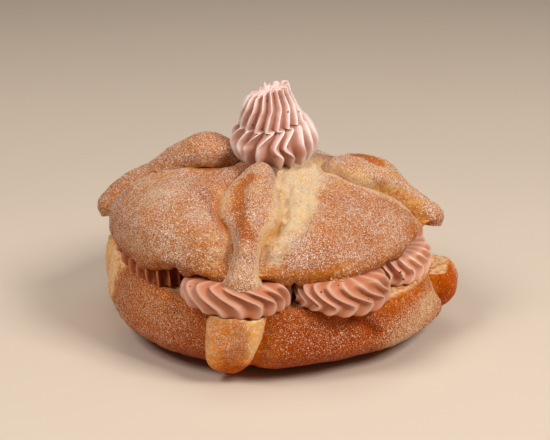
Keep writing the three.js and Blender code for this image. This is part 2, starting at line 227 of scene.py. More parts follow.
PINCH_RISE = (LID_CUT + 2, LID_CUT + 8)
PINCH_FILLED = 0.8
RIM_REACH = (40, 55)
RIM_RISE = 9.0
# Bearings round the torn rim, and how far it is lifted there
RIM_LIFT = ((-180, 0), (-160, 0), (-146, -0.9), (-136, -0.6), (-122, 1.3), (-113, -0.3), (-106, -1.2),
            (-89, -0.2), (-68, -0.8), (-61, -1.5), (-50, -0.7), (-37, 0.5), (-25, 2.1), (-16, 2.2),
            (5, 1.2), (30, 0), (180, 0))
RIM_TATTERS = ((1.7, 3.2, 15), (1.5, 1.7, 16))
TATTER_RISE = 4.0

# Baking and sugar of the upper half
LID_BROWN = 0.6
LID_TONE = ((0.2, 14, 13),)
LID_FLANK_EDGE = ((1.0, 4, 8),)
LID_FLANK_FADE = (0.2, 3.0)
LID_FLANK_PALE = {"right": 0.6, "front": 0.12, "left": 0.2}
VALLEY_BAKED = 0.35  # share of its paleness that the valley loses towards the rim
VALLEY_BAKED_SPAN = (36, 52)
# The valley is less pale in the fold beside the front bone: painted shade
FRONT_FOLD = dict(width=3.5, span=(24, 34), shade=0.2)
FRONT_WARMTH = dict(width=9.0, tone=-0.1)
LOW_EDGE = ((0.8, 4, 9),)
LOW_SPAN = (LID_CUT + 1, LID_CUT + 7)
LOW_TONE = 0.25
LOW_BARE = 0.75
BAND = dict(bearing=-72.0, spread=20.0, span=(38.5, 41.0), tone=-0.35, bare=0.9)  # at the front rim
BAND_EDGE = ((0.7, 2.5, 10),)
LID_CLUMPS = ((53, -128.5), (47, -119), (54, -77), (53.5, -143), (34, -118), (42, -137))
CLUMP_WIDTH = 3.2
CLUMP_COAT = 0.8
LID_COAT = 0.7
LID_PATCHES = ((0.35, 8, 14), (0.25, 3, 17))
LID_COAT_MOST = 1.5
VALLEY_COAT = 0.3
LID_COAT_START = (-1, 0.5)
PINCH_BARE = 0.6
RIM_CRUMBS = ((56.5, -68, 34.6), (56.5, -66, 34.4), (56.5, -64, 34.2), (56.6, -61.5, 34.0),
              (56.4, -59.5, 34.2))  # reach, bearing, height
EDGE_CRUMBS = ((41, -19.5), (42.5, -19), (44, -19.5), (47, -18.5))

# Forms on the lower half: places are (reach, bearing, height)
BASE_LIPS = ((-148.0, 22.0, 0.9), (-166.0, 10.0, 4.4))  # bearing, spread and height of the raised rim
LIP_REACH = (BASE_RADIUS - 8, BASE_RADIUS - 2)
LIP_RISE = (BASE_CUT - 9, BASE_CUT - 1)
SLICE_START = (-56, -48)  # bearings between which the crumb shows further down the side
SLICE_END = (0, 8)
SLICE_ROWS = 5
# The crease's tone paints shade along it
BASE_CREASE = dict(line=((58.6, -63, 23), (58.7, -61, 21), (59.2, -58, 18), (59.7, -55.5, 15)), width=1.8,
                   depth=2.2, tone=0.2, bare=0.6)
BASE_CRACK = dict(line=((57.8, -56, 9), (57.8, -55, 7.5), (57, -54, 6)), width=0.9, depth=1.0)
BASE_BULGE = dict(line=((59, -48, 11), (59, -32, 10), (59.5, -18, 11)), width=9.0, height=1.5)
BULGE_END = dict(spot=(60, -17, 12), width=6.0, height=1.6)
STUB_PINCH = dict(width=1.8, depth=0.7)
BASE_DOUGH = ((0.7, 19, 21), (0.35, 7, 22), (0.26, 1.7, 23))
BASE_PORES = dict(depth=0.7, hole=(1.5, 24), span=(0.05, 0.6), between=((0.35, 0.9, 25),))
WALL_RISE = (0, 3)
WALL_REACH = (48, 54)

# Baking and sugar of the lower half
BASE_BROWN = 0.7
BASE_TONE = ((0.2, 14, 27),)
BASE_LOW = dict(span=(4, 20), tone=0.3)
# Darker on the upper wall right of the front stub, under the cream: painted shade of the overhang
BASE_PAINTED_SHADE = dict(bearing=-70.0, spread=16.0, span=(9, 15), tone=0.3)
# Under the slice, beside the front stub, at the far left, beside all stubs and on the bulge
SLICED = dict(bearing=-38.0, spread=18.0, span=(18, 21), pale=0.4, bare=0.75)
SLICED_EDGE = ((1.5, 4, 29),)
BASE_PULLED = dict(line=((58, -91, 14), (58, -91.5, 6)), width=5.0, pale=0.55)
LEFT_PALE = dict(bearing=-149.0, height=31.0, slope=0.55,  # the edge draws back by slope degrees a millimetre
                 span=(-8, 3.5), pale=1.25, bare=0.6)
LEFT_PALE_EDGE = ((2.0, 4, 29), (2.5, 1.8, 39))
BESIDE_STUB = dict(span=(0.4, 2.6), pale=0.45)
BESIDE_STUB_EDGE = ((1.2, 4, 26),)
BULGE_SUGAR = dict(line=((59, -46, 9), (59, -38, 14), (59.5, -22, 18)), width=7.0, pale=0.5, coat=2.4)
UNBAKED_SHARE = 0.7
BASE_COAT = 0.72
BASE_PATCHES = ((0.2, 7, 28), (0.25, 2.6, 30))
BASE_COAT_MOST = 3.0
LEFT_SIDE = dict(start=(110, 128), end=(172, 180), rise=(4, 15), coat=0.6)  # degrees from +X by the front
BACK_SIDE = dict(bearing=90.0, spread=60.0, bare=0.4)
FOOT_COAT = 0.15
FOOT_COAT_RISE = (3, 12)
BASE_COAT_START = (0, 1)
FLOOR_COAT_START = (0.2, 1)
BASE_DUST = 0.55  # the fine sugar has mostly fallen off the steep side

# Surface of the bones: places on the front and right bones are in the row frame
BONE_DOUGH = ((0.4, 9, 31), (0.22, 3.5, 32), (0.12, 1.5, 33))
BONE_EDGE = ((0.6, 3, 34),)
BONE_RIDGE = dict(line=((-4.1, -15.3, 61.7), (-6.1, -25.4, 58.9), (-6.9, -36.2, 55.5), (-8.1, -45, 51.6),
                        (-9.3, -53.4, 46.1)), width=3.4, height=1.5)
BONE_FOOT = dict(span=(0.2, 2.0), pale=0.4)
FRONT_FACE = dict(line=((-8, -21.5, 59.8), (-11.6, -28, 57.6), (-11.2, -38, 54.4), (-10, -45, 51.5),
                        (-8.5, -49.8, 48.9)), ragged=1.3, span=(1.2, 3.6), bare=0.85, tone=0.34)
FRONT_FLANK = dict(rise=(1.5, 5.5), across=(1, 4), pale=0.9)
RIGHT_TOP = dict(line=((30.2, -2.4, 62.4), (33.4, -4.8, 61.9), (36.6, -7.2, 60.9)), span=(2.0, 3.4),
                 tone=0.25)
RIGHT_FLANK = dict(ragged=2.0, rise=(3.5, 7.5), across=(-4, -1), bare=0.5, pale=0.6, tone=-0.22)
RIGHT_OUTER = dict(ragged=2.0, reach=(36, 41), bare=0.45, darkening=0.95, tone=0.1)
LEFT_FLANK = dict(rise=(1.5, 5.5), across=(1, 4), bare=0.55, tone=-0.25)
# The left bone's tone paints shade all over it, as it lies in less light
LEFT_TOP = dict(bare=0.25, tone=0.08)
BARE_SINK = 0.35
KNIFE_EDGE = ((0.35, 1.6, 35),)
KNIFE_BAND = (0.2, 0.8)  # below and above the knife's line
FRONT_KNIFE_DROP = 1.2
BONE_BROWN = 0.56
BONE_TONE = ((0.2, 10, 37),)
BONE_COAT = 0.95
BONE_PATCHES = ((0.35, 6, 38),)
BONE_COAT_MOST = 1.2
BONE_BARE = 0.92
BONE_COAT_START = (-3.5, -2)

# Surface of what the knife left below: the scoop on the front stub is in the row frame
STUB_DOUGH = ((0.5, 10, 41), (0.3, 4, 42), (0.2, 1.5, 43))
STUB_PORES = dict(depth=0.9, hole=(2.6, 44), span=(0.1, 0.6), between=((0.25, 1.2, 45),))
STUB_EDGE = ((1.0, 3, 46),)
STUB_FLANK = dict(ragged=0.8, span=(BASE_RADIUS - 0.5, BASE_RADIUS + 2.5), pale=0.8)
STUB_SCOOP = dict(line=((-12.5, -62.5, 17), (-13.5, -62, 8), (-12, -61.5, 6.5)), width=4.2, depth=0.9,
                  tone=0.14)
FRONT_STUB_RIGHT = dict(across=(3.5, 7.5), pale=0.75, coat=0.6)
FRONT_STUB_LEFT = dict(across=(3, 7), pale=0.3)
FRONT_STUB_LOW = dict(ragged=1.5, span=(5, 15), bare=0.95)
FRONT_STUB_END = dict(span=(4, 10), tone=0.4)
FRONT_STUB_PALE_RISE = (6, 12)
FRONT_STUB_TONE = ((0.2, 5, 49),)
RIGHT_STUB = dict(ragged=2.0, span=(-9, -5), bare=0.94, pale=0.3, tone=0.42)
LEFT_STUB_PALE = 0.75
SHOWN_STUBS = ("front", "right")  # their crumb shows one row further down
STUB_BROWN = 0.5
STUB_TONE = ((0.2, 9, 47),)
STUB_COAT = 0.85
STUB_PATCHES = ((0.3, 6, 48),)
STUB_COAT_START = (BASE_RADIUS - 1, BASE_RADIUS + 1)

# Dark flecks in the cream, in the row frame
FLECKS = {
    "crown": ((-12.4, -5.6, 67.2), (-7.4, -7.2, 74.6), (-2.4, -6.1, 83.1), (2.1, -5.6, 83.9),
              (4.4, -7.4, 79.7), (8.5, -2.9, 78.4), (5.8, -12, 68.5), (-0.6, -14.2, 64.2),
              (0.1, -12.4, 63)),
    "ring": ((-27, -53.3, 33.5), (14.4, -56.9, 30.7), (21, -55.7, 34.1), (31.3, -55.1, 30.1),
             (35.1, -51.5, 28.2), (15.5, -57.4, 33.2), (43.3, -35.9, 30.9), (47.2, -34.8, 29.5),
             (44, -37.1, 28.3), (44.3, -35.5, 32.2)),
}
FLECK_SIZES = (0.5, 1.1)

# Sugar and crumbs: coats are (piece, share on each crust, count, sizes, clearness, slot, kind of sugar),
# and clearness is for a thin coat and for a thick one
FINE_SUGAR = (0.24, 0.46)
COARSE_SUGAR = (0.4, 0.66)
COATS = (
    ("lid_sugar", {"lid": 1.0}, 49500, FINE_SUGAR, (0.9, 1.2), "bread_crust", "white"),
    ("base_sugar", {"base": 1.0}, 49000, FINE_SUGAR, (0.6, 2.4), "bread_crust", "amber"),
    ("bone_sugar", {"bone": 1.0}, 44000, FINE_SUGAR, (0.6, 1.0), "bone_crust", "honey"),
    ("stub_sugar", {"stub": 1.0}, 12000, FINE_SUGAR, (1.7, 2.3), "bone_crust", "amber"),
    ("coarse_sugar", {"lid": 1.0, "bone": 1.35, "base": 0.18, "stub": 0.55}, 42000, COARSE_SUGAR,
     (1.2, 1.6), "bread_crust", "white"),
)
SMALL_BIAS = 1.5  # most crystals are near the smaller size
GRAIN_STRETCH = (0.65, 1.25)
GRAIN_TILT = 0.2  # how far each crystal leans from the skin
GRAIN_LIFT = 0.7  # and how far it catches the light from above
GRAIN_RAISE = 0.1  # share of its size that each crystal stands above the skin
THICKNESS_SPAN = (0.7, 1.5)
CRUMB_LUMPS = 9
CRUMB_SPREAD = (0.8, 0.6, 0.45)
CRUMB_SIZES = (0.5, 1.3)
BEAD_CORNERS = np.array(((1, 0, -0.2), (-0.5, 0.87, -0.2), (-0.5, -0.87, -0.2), (0, 0, 0.1)), float) / 2
BEAD_FACES = np.array(((0, 1, 3), (1, 2, 3), (2, 0, 3), (0, 2, 1)))
OCTA_CORNERS = np.array(((1, 0, 0), (-1, 0, 0), (0, 1, 0), (0, -1, 0), (0, 0, 1), (0, 0, -1)), float) / 2
OCTA_FACES = np.array(((0, 2, 4), (2, 1, 4), (1, 3, 4), (3, 0, 4),
                       (2, 0, 5), (1, 2, 5), (3, 1, 5), (0, 3, 5)))

# Colours, from 0 to 255, and looks of each finish
LID_CRUST = dict(pale=(218, 188, 136), golden=(177, 100, 25), brown=(143, 64, 10),
                 frost=(204, 158, 128), dust=(238, 200, 170), cover=0.2)
BASE_CRUST = dict(pale=(252, 208, 152), golden=(184, 87, 6), brown=(148, 50, 1),
                  frost=(196, 110, 40), dust=(206, 122, 46), cover=0.12)
BONE_CRUST = dict(pale=(226, 182, 112), golden=(184, 106, 36), brown=(154, 76, 24),
                  frost=(204, 150, 110), dust=(234, 186, 140), cover=0.2)
STUB_CRUST = dict(pale=(250, 194, 116), golden=(226, 130, 34), brown=(175, 72, 1),
                  frost=(224, 150, 84), dust=(206, 122, 46), cover=0.1)
CRUST_ROUGHNESS = (0.42, 0.7)  # bare and sugared
CRUST_SHINE = 0.15
# orange tint on the crust's reflections, a painted reflection of warm light from round about
WARM_SHINE = (1.0, 0.55, 0.22, 1.0)
CRUST_BUMP = dict(strength=0.5, depth=0.35)
CRUMB = (240, 202, 154)
CRUMB_SHADE = (208, 140, 74)
CRUMB_PORES = dict(size=1.8, detail=3.0, span=(0.38, 0.56))
CRUMB_MOTTLE = 0.8
CRUMB_ROUGHNESS = 0.8
DOUGH_MOTTLE = dict(size=5.0, detail=4.0, weight=0.55)
DOUGH_SPECKLE = dict(size=1.1, detail=3.0)
GOLDEN_SPAN = (0.05, 0.5)
BROWN_SPAN = (0.5, 1.0)
VEIL_FINE = dict(size=0.75, detail=3.0, span=(0.32, 0.72), weight=1.1)
VEIL_DRIFTS = dict(size=3.4, detail=3.0, weight=1.5, start=-0.4)
DUST_SPACING = 0.6
DUST_DOT = (0.5, 0.15)
DUST_CHOSEN = (0.45, 0.75)
# In each cream, deep is painted shade in the furrows, body the cream itself, and edge a painted highlight
# along each crest
RING_CREAM = dict(deep=(188, 114, 78), body=(204, 142, 111), edge=(214, 172, 150), shine=0.3)
# A darker copy of the ring cream, painted with the shade under the lid's left edge
PAINTED_SHADE_CREAM = dict(deep=(136, 62, 26), body=(160, 82, 42), edge=(204, 128, 84), shine=0.3)
# A paler copy of the ring cream, painted with the light that falls on the swirl at the right
PAINTED_LIGHT_CREAM = dict(deep=(214, 148, 116), body=(230, 176, 148), edge=(240, 204, 186), shine=0.3)
CROWN_CREAM = dict(deep=(196, 140, 118), body=(228, 185, 170), edge=(255, 242, 240), shine=0.5)
CREAM_MOTTLE = dict(size=4.0, detail=3.0, weight=(-0.25, 0.35))
CREAM_CREST = 4.0  # the higher, the narrower the painted highlight along each crest
CREAM_ROUGHNESS = 0.45
CREAM_GLOW = dict(weight=0.06, radius=(1.0, 0.5, 0.35), depth=1.5)
CREAM_BUMP = dict(strength=0.12, depth=0.2, size=0.9)
WHITE_SUGAR = dict(clear=(254, 248, 241), cloudy=(224, 181, 148))
AMBER_SUGAR = dict(clear=(252, 226, 180), cloudy=(200, 106, 20))
HONEY_SUGAR = dict(clear=(254, 243, 230), cloudy=(220, 162, 112))
SUGAR_ROUGHNESS = 0.3
SUGAR_SHINE = 0.2
FLECK = dict(dark=(40, 28, 22), light=(92, 62, 46), mottle=0.6, roughness=0.5)
FLOOR = dict(dark=(212, 197, 180), light=(217, 202, 185), mottle=120.0, roughness=0.8)

# Stage, light and camera: lights are (name, place, size, power, colour), in metres and watts
FLOOR_HALF = 3000.0
FLOOR_DROP = 0.05
LIGHT_AIM = (0.0, 0.0, 0.04)
LIGHTS = (
    ("overhead", (0.05, 0.12, 0.95), (0.7, 0.6), 2.1, (1.0, 0.96, 0.93)),
    ("right_box", (0.56, -0.40, 0.72), (0.35, 0.35), 7.0, (1.0, 0.96, 0.92)),
    ("left_box", (-0.50, -0.34, 0.76), (0.35, 0.35), 4.2, (1.0, 0.96, 0.93)),
)
ROOM_COLOUR = (1.0, 0.82, 0.62, 1.0)
ROOM_STRENGTH = 0.11
SENSOR_WIDTH = 36.0
PHOTO_WIDTH_PX = 550
FOCAL_PX = 1380
CAMERA_TARGET = (0.4, 0.0, 37.0)
CAMERA_ELEVATION = 20.0
CAMERA_DISTANCE = 500

# Fineness
LID_SIDES = 440
UNDERSIDE_ROWS = 14
UNDERSIDE_FADE = (UNDERSIDE_ROWS - 3, UNDERSIDE_ROWS - 1)
EDGE_ROWS = 5
DOME_ROWS = 130
BASE_SIDES = 440
FOOT_ROWS = 4
WALL_ROWS = 64
CUT_ROWS = 26
CUT_CROWDING = 1.6  # rows of the cut face crowd towards its rim
CUT_FADE = (1, 4)  # rows over which the crust turns into crumb
BONE_SIDES = 72
BONE_ROWS = 110
BONE_STEADY = 21
STUB_SIDES = 120
STUB_ROWS = 40
STUB_CAP_ROWS = 10
STUB_CAP_HUB = 0.04
STUB_CUT_FADE = 2
SWIRL_RIDGE_SIDES = 12
SWIRL_ROWS = 44
CROWN_ROWS = 150
CURVE_STEPS = 400
PROFILE_STEPS = 600
WALL_STEPS = 300

# The seeds of the random draws, and how a cell's number is mixed
BREAD_SEED = 7
FILLING_SEED = 8
CELL_PRIMES = np.array((73856093, 19349663, 83492791), np.int64)
SEED_PRIME = 2654435761
MIX_STEPS = ((30, 0xBF58476D1CE4E5B9), (27, 0x94D049BB133111EB))
LAST_SHIFT = 31
HALF_RANGE = 2.0 ** 63


# Plain measures

def ease(x, low, high):
    """Rises smoothly from 0 at low to 1 at high."""
    t = np.clip((x - low) / (high - low), 0, 1)
    return t * t * (3 - 2 * t)


def hill(t):
    return np.exp(-t * t)


def cosine(degrees):
    return np.cos(np.radians(degrees))


def sine(degrees):
    return np.sin(np.radians(degrees))


def apart(a, b):
    """The angle between two bearings, without sign."""
    return np.abs((a - b + FULL_TURN / 2) % FULL_TURN - FULL_TURN / 2)


def fuller(t, power):
    """Fills an oval section out towards a rounded box, the more the lower power is."""
    return np.sign(t) * np.abs(t) ** power


def outward_at(bearing):
    return np.array((cosine(bearing), sine(bearing), 0.0))


def base_cut_at(x):
    return BASE_CUT - BASE_CUT_TILT * x


def bearings(count):
    return np.arange(count) * FULL_TURN / count - FULL_TURN / 2


def bearing_of(points, middle=0.0):
    return np.degrees(np.arctan2(points[..., 1], points[..., 0] - middle))


def reach_of(points, middle=0.0):
    return np.hypot(points[..., 0] - middle, points[..., 1])


def cell_value(cells, seed):
    """A number from -1 to 1 for each whole-numbered cell, the same at every run."""
    key = (cells @ CELL_PRIMES + seed * SEED_PRIME).astype(np.uint64)
    for shift, factor in MIX_STEPS:
        key = (key ^ (key >> np.uint64(shift))) * np.uint64(factor)
    key = key ^ (key >> np.uint64(LAST_SHIFT))
    return key / HALF_RANGE - 1.0


def lumps(points, size, seed):
    """Smooth random lumps about size millimetres across, from -1 to 1."""
    place = points / size
    cell = np.floor(place).astype(np.int64)
    t = place - cell
    t = t * t * (3 - 2 * t)
    total = np.zeros(points.shape[:-1])
    for corner in np.ndindex(2, 2, 2):
        share = np.where(np.array(corner) == 1, t, 1 - t).prod(-1)
        total += share * cell_value(cell + np.array(corner), seed)
    return total


def lumpy(points, layers):
    """Layers of random lumps added up."""
    return sum(height * lumps(points, size, seed) for height, size, seed in layers)


def crumb_pores(points, depth, hole, span, between):
    """A cut face with open pores where the lumps of one size and seed rise, and roughness between them."""
    return lumpy(points, between) - depth * ease(lumps(points, *hole), *span)


def through(stations, count):
    """A smooth line through a few stations, at count places along it."""
    p = np.array(stations, float)
    p = np.concatenate([[2 * p[0] - p[1]], p, [2 * p[-1] - p[-2]]])
    spans = len(p) - 3
    place = np.linspace(0, spans, count)
    leg = np.minimum(place.astype(int), spans - 1)
    t = (place - leg)[:, None]
    a, b, c, d = (p[leg + i] for i in range(4))
    step = [np.sqrt(np.linalg.norm(v, axis=1, keepdims=True)) for v in (b - a, c - b, d - c)]
    leave = ((b - a) / step[0] - (c - a) / (step[0] + step[1])) * step[1] + c - b
    arrive = ((d - c) / step[2] - (d - b) / (step[1] + step[2])) * step[1] + c - b
    square = -3 * b + 3 * c - 2 * leave - arrive
    cube = 2 * b - 2 * c + leave + arrive
    return b + leave * t + square * t ** 2 + cube * t ** 3


def along_table(table, at):
    """A smooth curve through a table of pairs, read at given places."""
    fine = through(table, CURVE_STEPS)
    return np.interp(at, fine[:, 0], fine[:, 1])


def evenly(line, count):
    """The same line with count places spaced evenly along it."""
    line = np.array(line, float)
    run = np.concatenate([[0], np.cumsum(np.linalg.norm(np.diff(line, axis=0), axis=1))])
    at = np.linspace(0, run[-1], count)
    return np.stack([np.interp(at, run, column) for column in line.T], -1)


def steadied(values, count):
    """Each row of values averaged with its neighbours, count rows wide."""
    weight = np.hanning(count + 2)[1:-1]
    padded = np.pad(values, ((count // 2, count // 2), (0, 0)), mode="edge")
    return np.stack([np.convolve(column, weight / weight.sum(), "valid") for column in padded.T], -1)


def from_line(points, line):
    """Distance to a bent line, and how many stations along it the nearest place is."""
    line = np.array(line, float)
    best = np.full(points.shape[:-1], np.inf)
    where = np.zeros(points.shape[:-1])
    for i, (a, b) in enumerate(zip(line[:-1], line[1:])):
        leg = b - a
        t = np.clip(((points - a) @ leg) / (leg @ leg), 0, 1)
        gap = np.linalg.norm(points - a - t[..., None] * leg, axis=-1)
        where = np.where(gap < best, i + t, where)
        best = np.minimum(gap, best)
    return best, where


def near_line(points, line, width):
    """1 along a bent line, falling off over about width beside it."""
    return hill(from_line(points, line)[0] / width)


def near_spot(points, spot, width):
    return hill(np.linalg.norm(points - spot, axis=-1) / width)


def facing(rows):
    """Which way each place on a skin faces, outwards."""
    around = np.roll(rows, -1, axis=1) - np.roll(rows, 1, axis=1)
    along = np.gradient(rows, axis=0)
    normals = np.cross(around, along)
    normals /= np.linalg.norm(normals, axis=-1, keepdims=True) + TINY
    outside = (normals * (rows - rows.mean((0, 1)))).sum(-1).mean()
    return normals * np.sign(outside)


def pushed(rows, relief):
    """A skin moved outwards by a relief at each place."""
    return rows + facing(rows) * relief[..., None]


# Meshes

MASK_KINDS = {1: ("FLOAT", "value"), 2: ("FLOAT_VECTOR", "vector")}


def make_piece(name, points, faces, masks, smooth=True):
    mesh = bpy.data.meshes.new(name)
    mesh.from_pydata((points * MM).tolist(), [], faces)
    mesh.polygons.foreach_set("use_smooth", np.full(len(faces), smooth))
    for mask, values in masks.items():
        values = np.asarray(values, np.float32)
        kind, field = MASK_KINDS[values.ndim]
        layer = mesh.attributes.new(mask, kind, "POINT")
        layer.data.foreach_set(field, values.ravel())
    mesh.update()
    piece = bpy.data.objects.new(name, mesh)
    bpy.context.scene.collection.objects.link(piece)
    return piece


def with_ends(values):
    """A mask's values, and one for the middle of the fan at each end."""
    return np.append(values.ravel(), [values[0].mean(), values[-1].mean()])


def skin(name, rows, masks):
    """A closed smooth skin over rows of places, with a fan over each end."""
    count, sides = rows.shape[:2]
    points = np.concatenate([rows.reshape(-1, 3), [rows[0].mean(0), rows[-1].mean(0)]])
    index = np.arange(count * sides).reshape(count, sides)
    beside = np.roll(index, -1, axis=1)
    quads = np.stack([index[:-1], beside[:-1], beside[1:], index[1:]], -1).reshape(-1, 4)
    first = np.stack([beside[0], index[0], np.full(sides, count * sides)], -1)
    last = np.stack([index[-1], beside[-1], np.full(sides, count * sides + 1)], -1)
    corners = points[quads]
    spread = np.cross(corners[:, 2] - corners[:, 0], corners[:, 3] - corners[:, 1])
    inside_out = ((corners.mean(1) - points.mean(0)) * spread).sum() < 0
    faces = [quads, first, last]
    if inside_out:
        faces = [group[:, ::-1] for group in faces]
    flat = [face for group in faces for face in group.tolist()]
    return make_piece(name, points, flat, {mask: with_ends(values) for mask, values in masks.items()})


def finish_piece(piece, material, slot, *nodes):
    piece.data.materials.append(material)
    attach(piece, "root")
    if nodes:
        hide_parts(*nodes)


# The upper half

def lobe_sum(bearing, measure):
    total = 0
    for lobe in LOBES:
        t = apart(bearing, lobe["bearing"]) / LOBE_SPREAD
        total = total + np.maximum(0, 1 - t * t) * lobe[measure]
    return total


def groove_depth(bearing, reach):
    rim, loss = GROOVE_RIM
    kept = 1 - loss * ease(reach, rim, LID_RADIUS)
    deepest = 0
    for bone in LID_BONES.values():
        depth, width = bone["groove"]
        turn = np.minimum(apart(bearing, bone["bearing"]), FULL_TURN / 4)
        here = depth * kept * ease(reach, *bone["fade"]) * hill(reach * sine(turn) / width)
        deepest = np.maximum(deepest, here)
    return deepest


def lid_push(bearing, reach, height):
    """How far the dough stands out from the plain dome, seen from the middle of the cut face."""
    share = ease(reach, *LOBE_FADE) * ease(height, LID_CUT, LID_CUT + LOBE_RISE)
    swell = lobe_sum(bearing, "lid_swell") * share
    sag = lobe_sum(bearing, "lid_sag") * hill((reach - SAG_REACH) / SAG_WIDTH)
    pressed = groove_depth(bearing, reach) * ease(height, LID_CUT, LID_CUT + GROOVE_RISE)
    return swell - np.maximum(pressed, sag)


def dome_height(reach):
    full = np.clip(1 - (reach / LID_RADIUS) ** DOME_FULLNESS, 0, 1)
    return LID_WIDEST_AT + (CROWN_HEIGHT - LID_WIDEST_AT) * np.sqrt(full)


def lid_place(bearing, reach, height):
    """A place of the plain dome, moved to where the dough is."""
    distance = np.hypot(reach, height - LID_CUT) + MIDDLE_GAP
    grown = 1 + lid_push(bearing, reach, height) / distance
    x = LID_SHIFT + reach * grown * cosine(bearing)
    y = reach * grown * sine(bearing)
    z = LID_CUT + (height - LID_CUT) * grown
    return np.stack([x, y, z], -1)


def at_places(spots, middle=0.0):
    """Places given as (reach, bearing, height)."""
    reach, bearing, height = np.array(spots, float).T
    return np.stack([middle + reach * cosine(bearing), reach * sine(bearing), height], -1)


def on_lid(spots):
    """Places on the upper half given as (reach, bearing)."""
    reach, bearing = np.array(spots, float).T
    return lid_place(bearing, reach, dome_height(reach))


def above_lid(points):
    """How far points stand above the upper half's skin."""
    reach = np.linspace(0, LID_RADIUS, CURVE_STEPS)
    rise = dome_height(reach) - LID_CUT
    lift = np.degrees(np.arctan2(rise, reach))[::-1]
    slope = np.degrees(np.arctan2(points[..., 2] - LID_CUT, reach_of(points, LID_SHIFT)))
    here = np.interp(slope, lift, reach[::-1])
    skin_at = lid_place(bearing_of(points, LID_SHIFT), here, dome_height(here))
    centre = np.array((LID_SHIFT, 0, LID_CUT))
    return np.linalg.norm(points - centre, axis=-1) - np.linalg.norm(skin_at - centre, axis=-1)


def beside_bone(points, bone):
    """How far points lie out from a bone's flank, below 0 under the bone itself."""
    stations = np.array(bone["stations"], float)
    outward = outward_at(bone["bearing"])
    x, y = points[..., 0] - LID_SHIFT, points[..., 1]
    along = x * outward[0] + y * outward[1]
    across = y * outward[0] - x * outward[1]
    reach = np.maximum.accumulate(stations[:, 0] + np.arange(len(stations)) * STATION_STEP)
    half = np.interp(along, reach, stations[:, 2])
    stray = along_table(bone["sway"], along)
    gap = np.abs(across - stray) - half
    before = np.maximum(reach[0] - along, 0)
    return np.hypot(np.maximum(gap, 0), before) + np.minimum(gap, 0)


def lid_rows():
    """The upper half's plain form in rows, and how far each place is on its cut face."""
    rim = LID_RADIUS - RIM_INSET
    turn = np.linspace(0, np.pi / 2, PROFILE_STEPS)
    reach = LID_RADIUS * np.cos(turn) ** (2 / DOME_FULLNESS)
    height = LID_WIDEST_AT + (CROWN_HEIGHT - LID_WIDEST_AT) * np.sin(turn)
    dome = evenly(np.stack([reach, height], -1), DOME_ROWS)[:-1]
    under = evenly(((HUB_RADIUS, LID_CUT), (rim - CUT_EDGE, LID_CUT)), UNDERSIDE_ROWS)
    edge = evenly(((rim - CUT_EDGE, LID_CUT), (rim, LID_CUT + CUT_EDGE), dome[0]), EDGE_ROWS)[1:-1]
    line = np.concatenate([under, edge, dome])
    places = lid_place(bearings(LID_SIDES)[None, :], line[:, :1], line[:, 1:])
    cut = 1 - ease(np.arange(len(line)), *UNDERSIDE_FADE)
    return places, np.repeat(cut[:, None], LID_SIDES, 1)


def valley_share(points):
    spots = np.array(VALLEY, float)
    gap, where = from_line(points, on_lid(spots[:, :2]))
    half = np.interp(where, np.arange(len(spots)), spots[:, 2])
    return 1 - ease(gap / half + lumpy(points, VALLEY_EDGE), *VALLEY_FADE)


def lid_marks(rows, cut):
    """Where everything lies on the upper half, measured on its plain form."""
    marks = SimpleNamespace(cut=cut)
    marks.bearing = bearing_of(rows, LID_SHIFT)
    marks.reach = reach_of(rows, LID_SHIFT)
    marks.valley = valley_share(rows) * (1 - cut)
    marks.forms = {name: near_line(rows, on_lid(form["line"]), form["width"])
                   for name, form in LOBE_FORMS.items()}
    marks.flanks = {place: beside_bone(rows, bone) for place, bone in LID_BONES.items()}
    beside_front = np.maximum(marks.flanks["front"] - PINCH_START, 0)
    marks.pinch = hill(beside_front / PINCH_WIDTH) * ease(rows[..., 2], *PINCH_RISE)
    return marks


def sum_of_forms(marks, measure):
    return sum(form[measure] * marks.forms[name] for name, form in LOBE_FORMS.items())


def lid_relief(rows, marks):
    """The upper half's lumps, lobes and folds, the valley and the pinch beside the front bone."""
    skin_and_cut = lumpy(rows, LID_DOUGH) * (1 - marks.cut) + lumpy(rows, LID_TORN) * marks.cut
    shown_folds = 1 - FOLD_LOSS * ease(marks.reach, *FOLD_FADE)
    folds = FOLD_HEIGHT * marks.valley * (lumpy(rows, FOLDS) - FOLD_SINK) * shown_folds
    filled = marks.valley * (1 - ease(marks.reach, *VALLEY_FILL_FADE))
    depth, deeper = VALLEY_SINK
    sunk = marks.valley * (depth + deeper * ease(marks.reach, *VALLEY_SINK_SPAN))
    pinched = PINCH_DEPTH * marks.pinch * (1 - PINCH_FILLED * filled)
    return skin_and_cut + folds + sum_of_forms(marks, "height") + VALLEY_FILL * filled - sunk - pinched


def ragged_rim(rows, marks):
    """The upper half with its torn lower edge lifted here and hanging there."""
    height = rows[..., 2]
    rim = ease(marks.reach, *RIM_REACH) * (1 - ease(height, LID_CUT, LID_CUT + RIM_RISE))
    tatters = lumpy(rows, RIM_TATTERS) * (1 - ease(height, LID_CUT, LID_CUT + TATTER_RISE))
    lift = rim * (along_table(RIM_LIFT, marks.bearing) + tatters)
    return rows + UP * lift[..., None]


def mark_lid_bands(rows, marks):
    """Adds the browner strip all round the lower edge, and the bare one at the front of it."""
    marks.low = 1 - ease(rows[..., 2] + lumpy(rows, LOW_EDGE), *LOW_SPAN)
    band = 1 - ease(rows[..., 2] + lumpy(rows, BAND_EDGE), *BAND["span"])
    marks.band = band * hill(apart(marks.bearing, BAND["bearing"]) / BAND["spread"])


